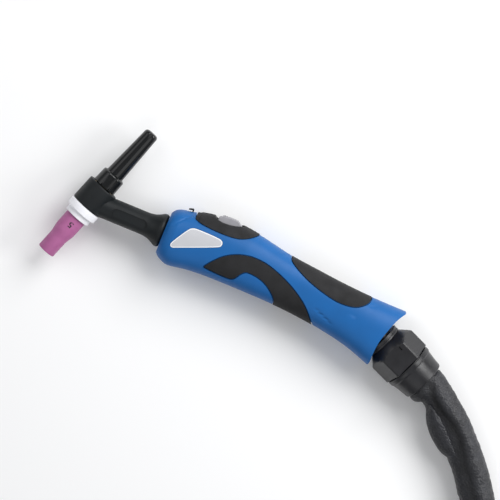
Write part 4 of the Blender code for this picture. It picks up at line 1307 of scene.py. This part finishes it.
def makeScrews(plan):
    guide = guideMesh("screwGuide", toRow([(x, y, -10.4) for x, y in plan["screws"]]))
    screws = runTree("handleScrews", screwTree(), guide, {"Material": zincSteel})
    ride(screws, "handle", "zinc_steel", *[f"handle_screw_{i}" for i in range(1, 5)])


makeShells(handlePlan)
makeScrews(handlePlan)
print("handle made")


# Switch panel, trigger button and hook

buttonPlan = {"halfWidth": 6.4, "ribs": 7, "ribWidth": 0.9}
scoop = [(34.4, 27.6), (35.6, 26.8), (37.6, 26.1), (42.3, 25.6), (47.2, 25.9), (52, 26.8), (55.4, 27.8),
         (59.0, 29.2), (60.2, 31), (60.2, 40), (33.8, 40), (33.8, 29)]


def makePanel():
    def lift(x):
        return 0.6 + 0.5 * min(max((x - 22.4) / 0.8, 0), 1) * min(max((72 - x) / 14, 0), 1)

    rings = []
    for x in sorted(set(stations(13, 90, 1.4) + [22.3, 22.5, 23.1, 23.3])):
        rings.append(np.concatenate([handlePoints(np.full(45, x), np.linspace(8, 172, 45), lift(x)),
                                     handlePoints(np.full(45, x), np.linspace(172, 8, 45), -1.3)]))
    made = ringed("switchPanel", rings, gripRubber)
    edge = prism("panelEdge", softened(panel), -40, 40)
    floor = prism("scoopFloor", [(33.9, 22.8), (56.4, 22.8), (56.4, 30), (60.1, 30), (33.9, 30)], -13.4, 13.4)
    bowl = prism("scoopBowl", softened(scoop, 1.0), -30, 30)
    window = prism("window", [(36.35, 10), (58.6, 10), (58.6, 40), (36.35, 40)], -6.9, 6.9)
    outer = core("panelLimit", 0.62, 16, 88)
    carve(floor, [("INTERSECT", outer)])
    carve(made, [("INTERSECT", edge), ("UNION", floor), ("DIFFERENCE", bowl), ("DIFFERENCE", window)], 34)
    drop(edge, floor, bowl, window, outer)
    ride(made, "handle", "grip_rubber", "switch_panel")


def makeButton(plan):
    side = rounded([(36.9, 20.8), (37.1, 28.2), (38.4, 29.3), (39.6, 29.5), (40.0, 30.6), (47, 31.15),
                    (52.6, 30.85), (54.6, 30.3), (55.0, 29.3), (57.2, 28.7), (58.0, 27.4), (58.1, 25.3),
                    (63.3, 24.3), (63.7, 19.9), (58, 19.7)], 0.5, closed=True)
    button = prism("triggerButton", side, -plan["halfWidth"], plan["halfWidth"], buttonNylon)
    hole = prism("pinHole", circle(61, 22, 1.3, 24), -12, 12)
    carve(button, [("DIFFERENCE", hole)])
    drop(hole)
    bevel = button.modifiers.new("softEdges", "BEVEL")
    bevel.width, bevel.segments, bevel.limit_method = 0.0004, 2, "ANGLE"
    bevel.angle_limit = math.radians(50)
    ride(button, "trigger", "button_nylon", "trigger_button")
    # low ridges across the pad
    count = plan["ribs"]
    corners = []
    for i in range(count):
        x = 41.5 + 11.0 * i / (count - 1)
        corners.append((x, 30.75 + 0.35 * math.sin(math.pi * (i + 1) / (count + 1)), 0))
    tree, start, end = newTree("padRidges", [("Width", "NodeSocketFloat", 0.0009),
                                             ("Length", "NodeSocketFloat", 0.0105),
                                             ("Material", "NodeSocketMaterial", None)])
    bar = addNode(tree, "GeometryNodeMeshCylinder", {"Vertices": 10, "Radius": 0.5, "Depth": 1.0})
    placed = addNode(tree, "GeometryNodeInstanceOnPoints", {
        "Points": start.outputs["Geometry"], "Instance": bar.outputs["Mesh"],
        "Scale": barSize(tree, start, "Width")})
    endTree(tree, start, end, placed.outputs["Instances"])
    ridges = runTree("buttonRidges", tree, guideMesh("ridgeGuide", toRow(corners)),
                     {"Width": plan["ribWidth"] / 1000, "Material": buttonNylon})
    ride(ridges, "trigger", "button_nylon")


def makeHook():
    side = rounded([(15.0, 19.5), (15.0, 25.2), (12.0, 24.4), (11.5, 25.5), (15.2, 26.6), (16.1, 26.0),
                    (16.1, 19.5)], 0.35, closed=True)
    ride(prism("latchHook", side, -2.4, 2.4, blackNylon), "handle", "black_nylon", "latch_hook")


makePanel()
makeButton(buttonPlan)
makeHook()
print("switch made")


# Ball joint, nut and hose clamp: z runs along the hose's axis from the ball's middle

nutPlan = {"start": 24.0, "end": 49.7, "corner": 22.3, "face": 14.8, "chamfer": 8.6}


def makeJoint(plan):
    ball = [(6.8, 36), (10.6, 36), (10.6, plan["start"] - gap), (15.2, plan["start"] - gap), (15.2, 22.4),
            (14.7, 22.2), (14.7, 21.6), (15.2, 21.4), (15.2, 19.7), (14.9, 19.5), (9, 19.5)]
    ball += [(16.2 * math.sin(a), 16.2 * math.cos(a)) for a in np.radians(np.linspace(34, 132, 30))]
    ball += [(6.8, -1)]
    ride(turned("jointBall", ball, blackNylon, ballMiddle, hoseAngle), "ball", "black_nylon", "joint_ball")
    arc = [(17.7 * math.sin(a), 17.7 * math.cos(a)) for a in np.radians(np.linspace(62, 128, 14))]
    arc += [(16.5 * math.sin(a), 16.5 * math.cos(a)) for a in np.radians(np.linspace(128, 62, 14))]
    ride(turned("ballSeat", arc, acetal, ballMiddle, -14.5), "seat", "acetal", "ball_seat")

    zs = [plan["start"] + s for s in (0, 0.15, 1.5, 3, 4.5, 6, 7.4, 8.2, 8.6, 9, 10, 14, 18, 22, 24, 25.0,
                                      25.4, 25.7)]
    profile = [(1, z) for z in zs] + [(15.5, plan["end"]), (15.5, 36.5), (10.9, 36.5), (10.9, plan["start"])]
    outerCount = len(zs)
    apothem = plan["corner"] * math.cos(math.radians(30)) + 0.35

    def hexed(turn, radius, z, index):
        if index >= outerCount:
            return radius
        off = z - plan["start"]
        apart = turn % (math.pi / 3)
        apart = min(apart, math.pi / 3 - apart)
        hexRadius = min(apothem / math.cos(apart), plan["corner"] - 0.05)
        cone = plan["face"] + (plan["corner"] + 0.2 - plan["face"]) * min(off / plan["chamfer"], 1)
        if off < 0.1:
            cone -= 0.2
        return min(hexRadius, cone) - max(0, (off - 25.0) * 0.7)

    nut = turned("jointNut", profile, blackNylon, ballMiddle, hoseAngle, 180, hexed, 22)
    start, along, side = turnFrame(ballMiddle, hoseAngle)
    notch = []
    for a, b in ((8.0, 5.6), (11.6, 5.6), (11.6, 6.8), (8.0, 6.8)):
        spot = start + along * (plan["start"] + a) + side * b
        notch.append((spot[0], spot[1]))
    cutter = prism("notch", notch, 17.8, 22)
    carve(nut, [("DIFFERENCE", cutter)], 22)
    drop(cutter)
    ride(nut, "hose_end", "black_nylon", "joint_nut")
    clamp = rounded([(15.2, 69.5), (18.2, 69.5), (18.8, 68.9), (19.4, 62), (20.5, 54.6), (21.3, 53.6),
                     (21.3, 51.0), (20.9, 50.3), (20.9, 50.0), (16.2, 50.0), (16.2, 48.5), (15.2, 48.5)],
                    0.4, closed=True)

    def onTable(turn, radius, *_):
        return min(radius, (sideFlat - 0.05) / max(abs(math.cos(turn)), 0.1))

    clamp = turned("hoseClamp", clamp, blackNylon, ballMiddle, hoseAngle, 96, onTable)
    ride(clamp, "hose_end", "black_nylon", "hose_clamp")


makeJoint(nutPlan)
print("joint made")


# The hidden pieces keep their shapes and get their finishes

hiddenLooks = {
    "collet_body": drawnCopper, "collet": drawnCopper, "tungsten_electrode": groundTungsten,
    "head_core": turnedBrass, "neck_tube": drawnCopper, "trigger_pin": zincSteel,
    "switch_bracket": blackNylon, "micro_switch": blackPhenolic, "switch_plunger": buttonNylon,
    "switch_lead": bootRubber,
    "cable_coupling": turnedBrass, "coupling_sleeve": sealRubber, "power_cable_end": bootRubber,
    "power_pin": turnedBrass, "gas_spigot": turnedBrass, "contact_pin_1": turnedBrass,
    "contact_pin_2": turnedBrass,
}
for name, look in hiddenLooks.items():
    frame["nodes"][name].material_slots[0].material = look

floorMesh = bpy.data.meshes.new("studioFloor")
floorMesh.from_pydata([(-4, -4, 0), (4, -4, 0), (4, 4, 0), (-4, 4, 0)], [], [(0, 1, 2, 3)])
floorMesh.materials.append(startMaterial("paintedFloor", lightPlan["floor"], 0.9)[0])
addObject("studioFloor", floorMesh)

print("all pieces in place")
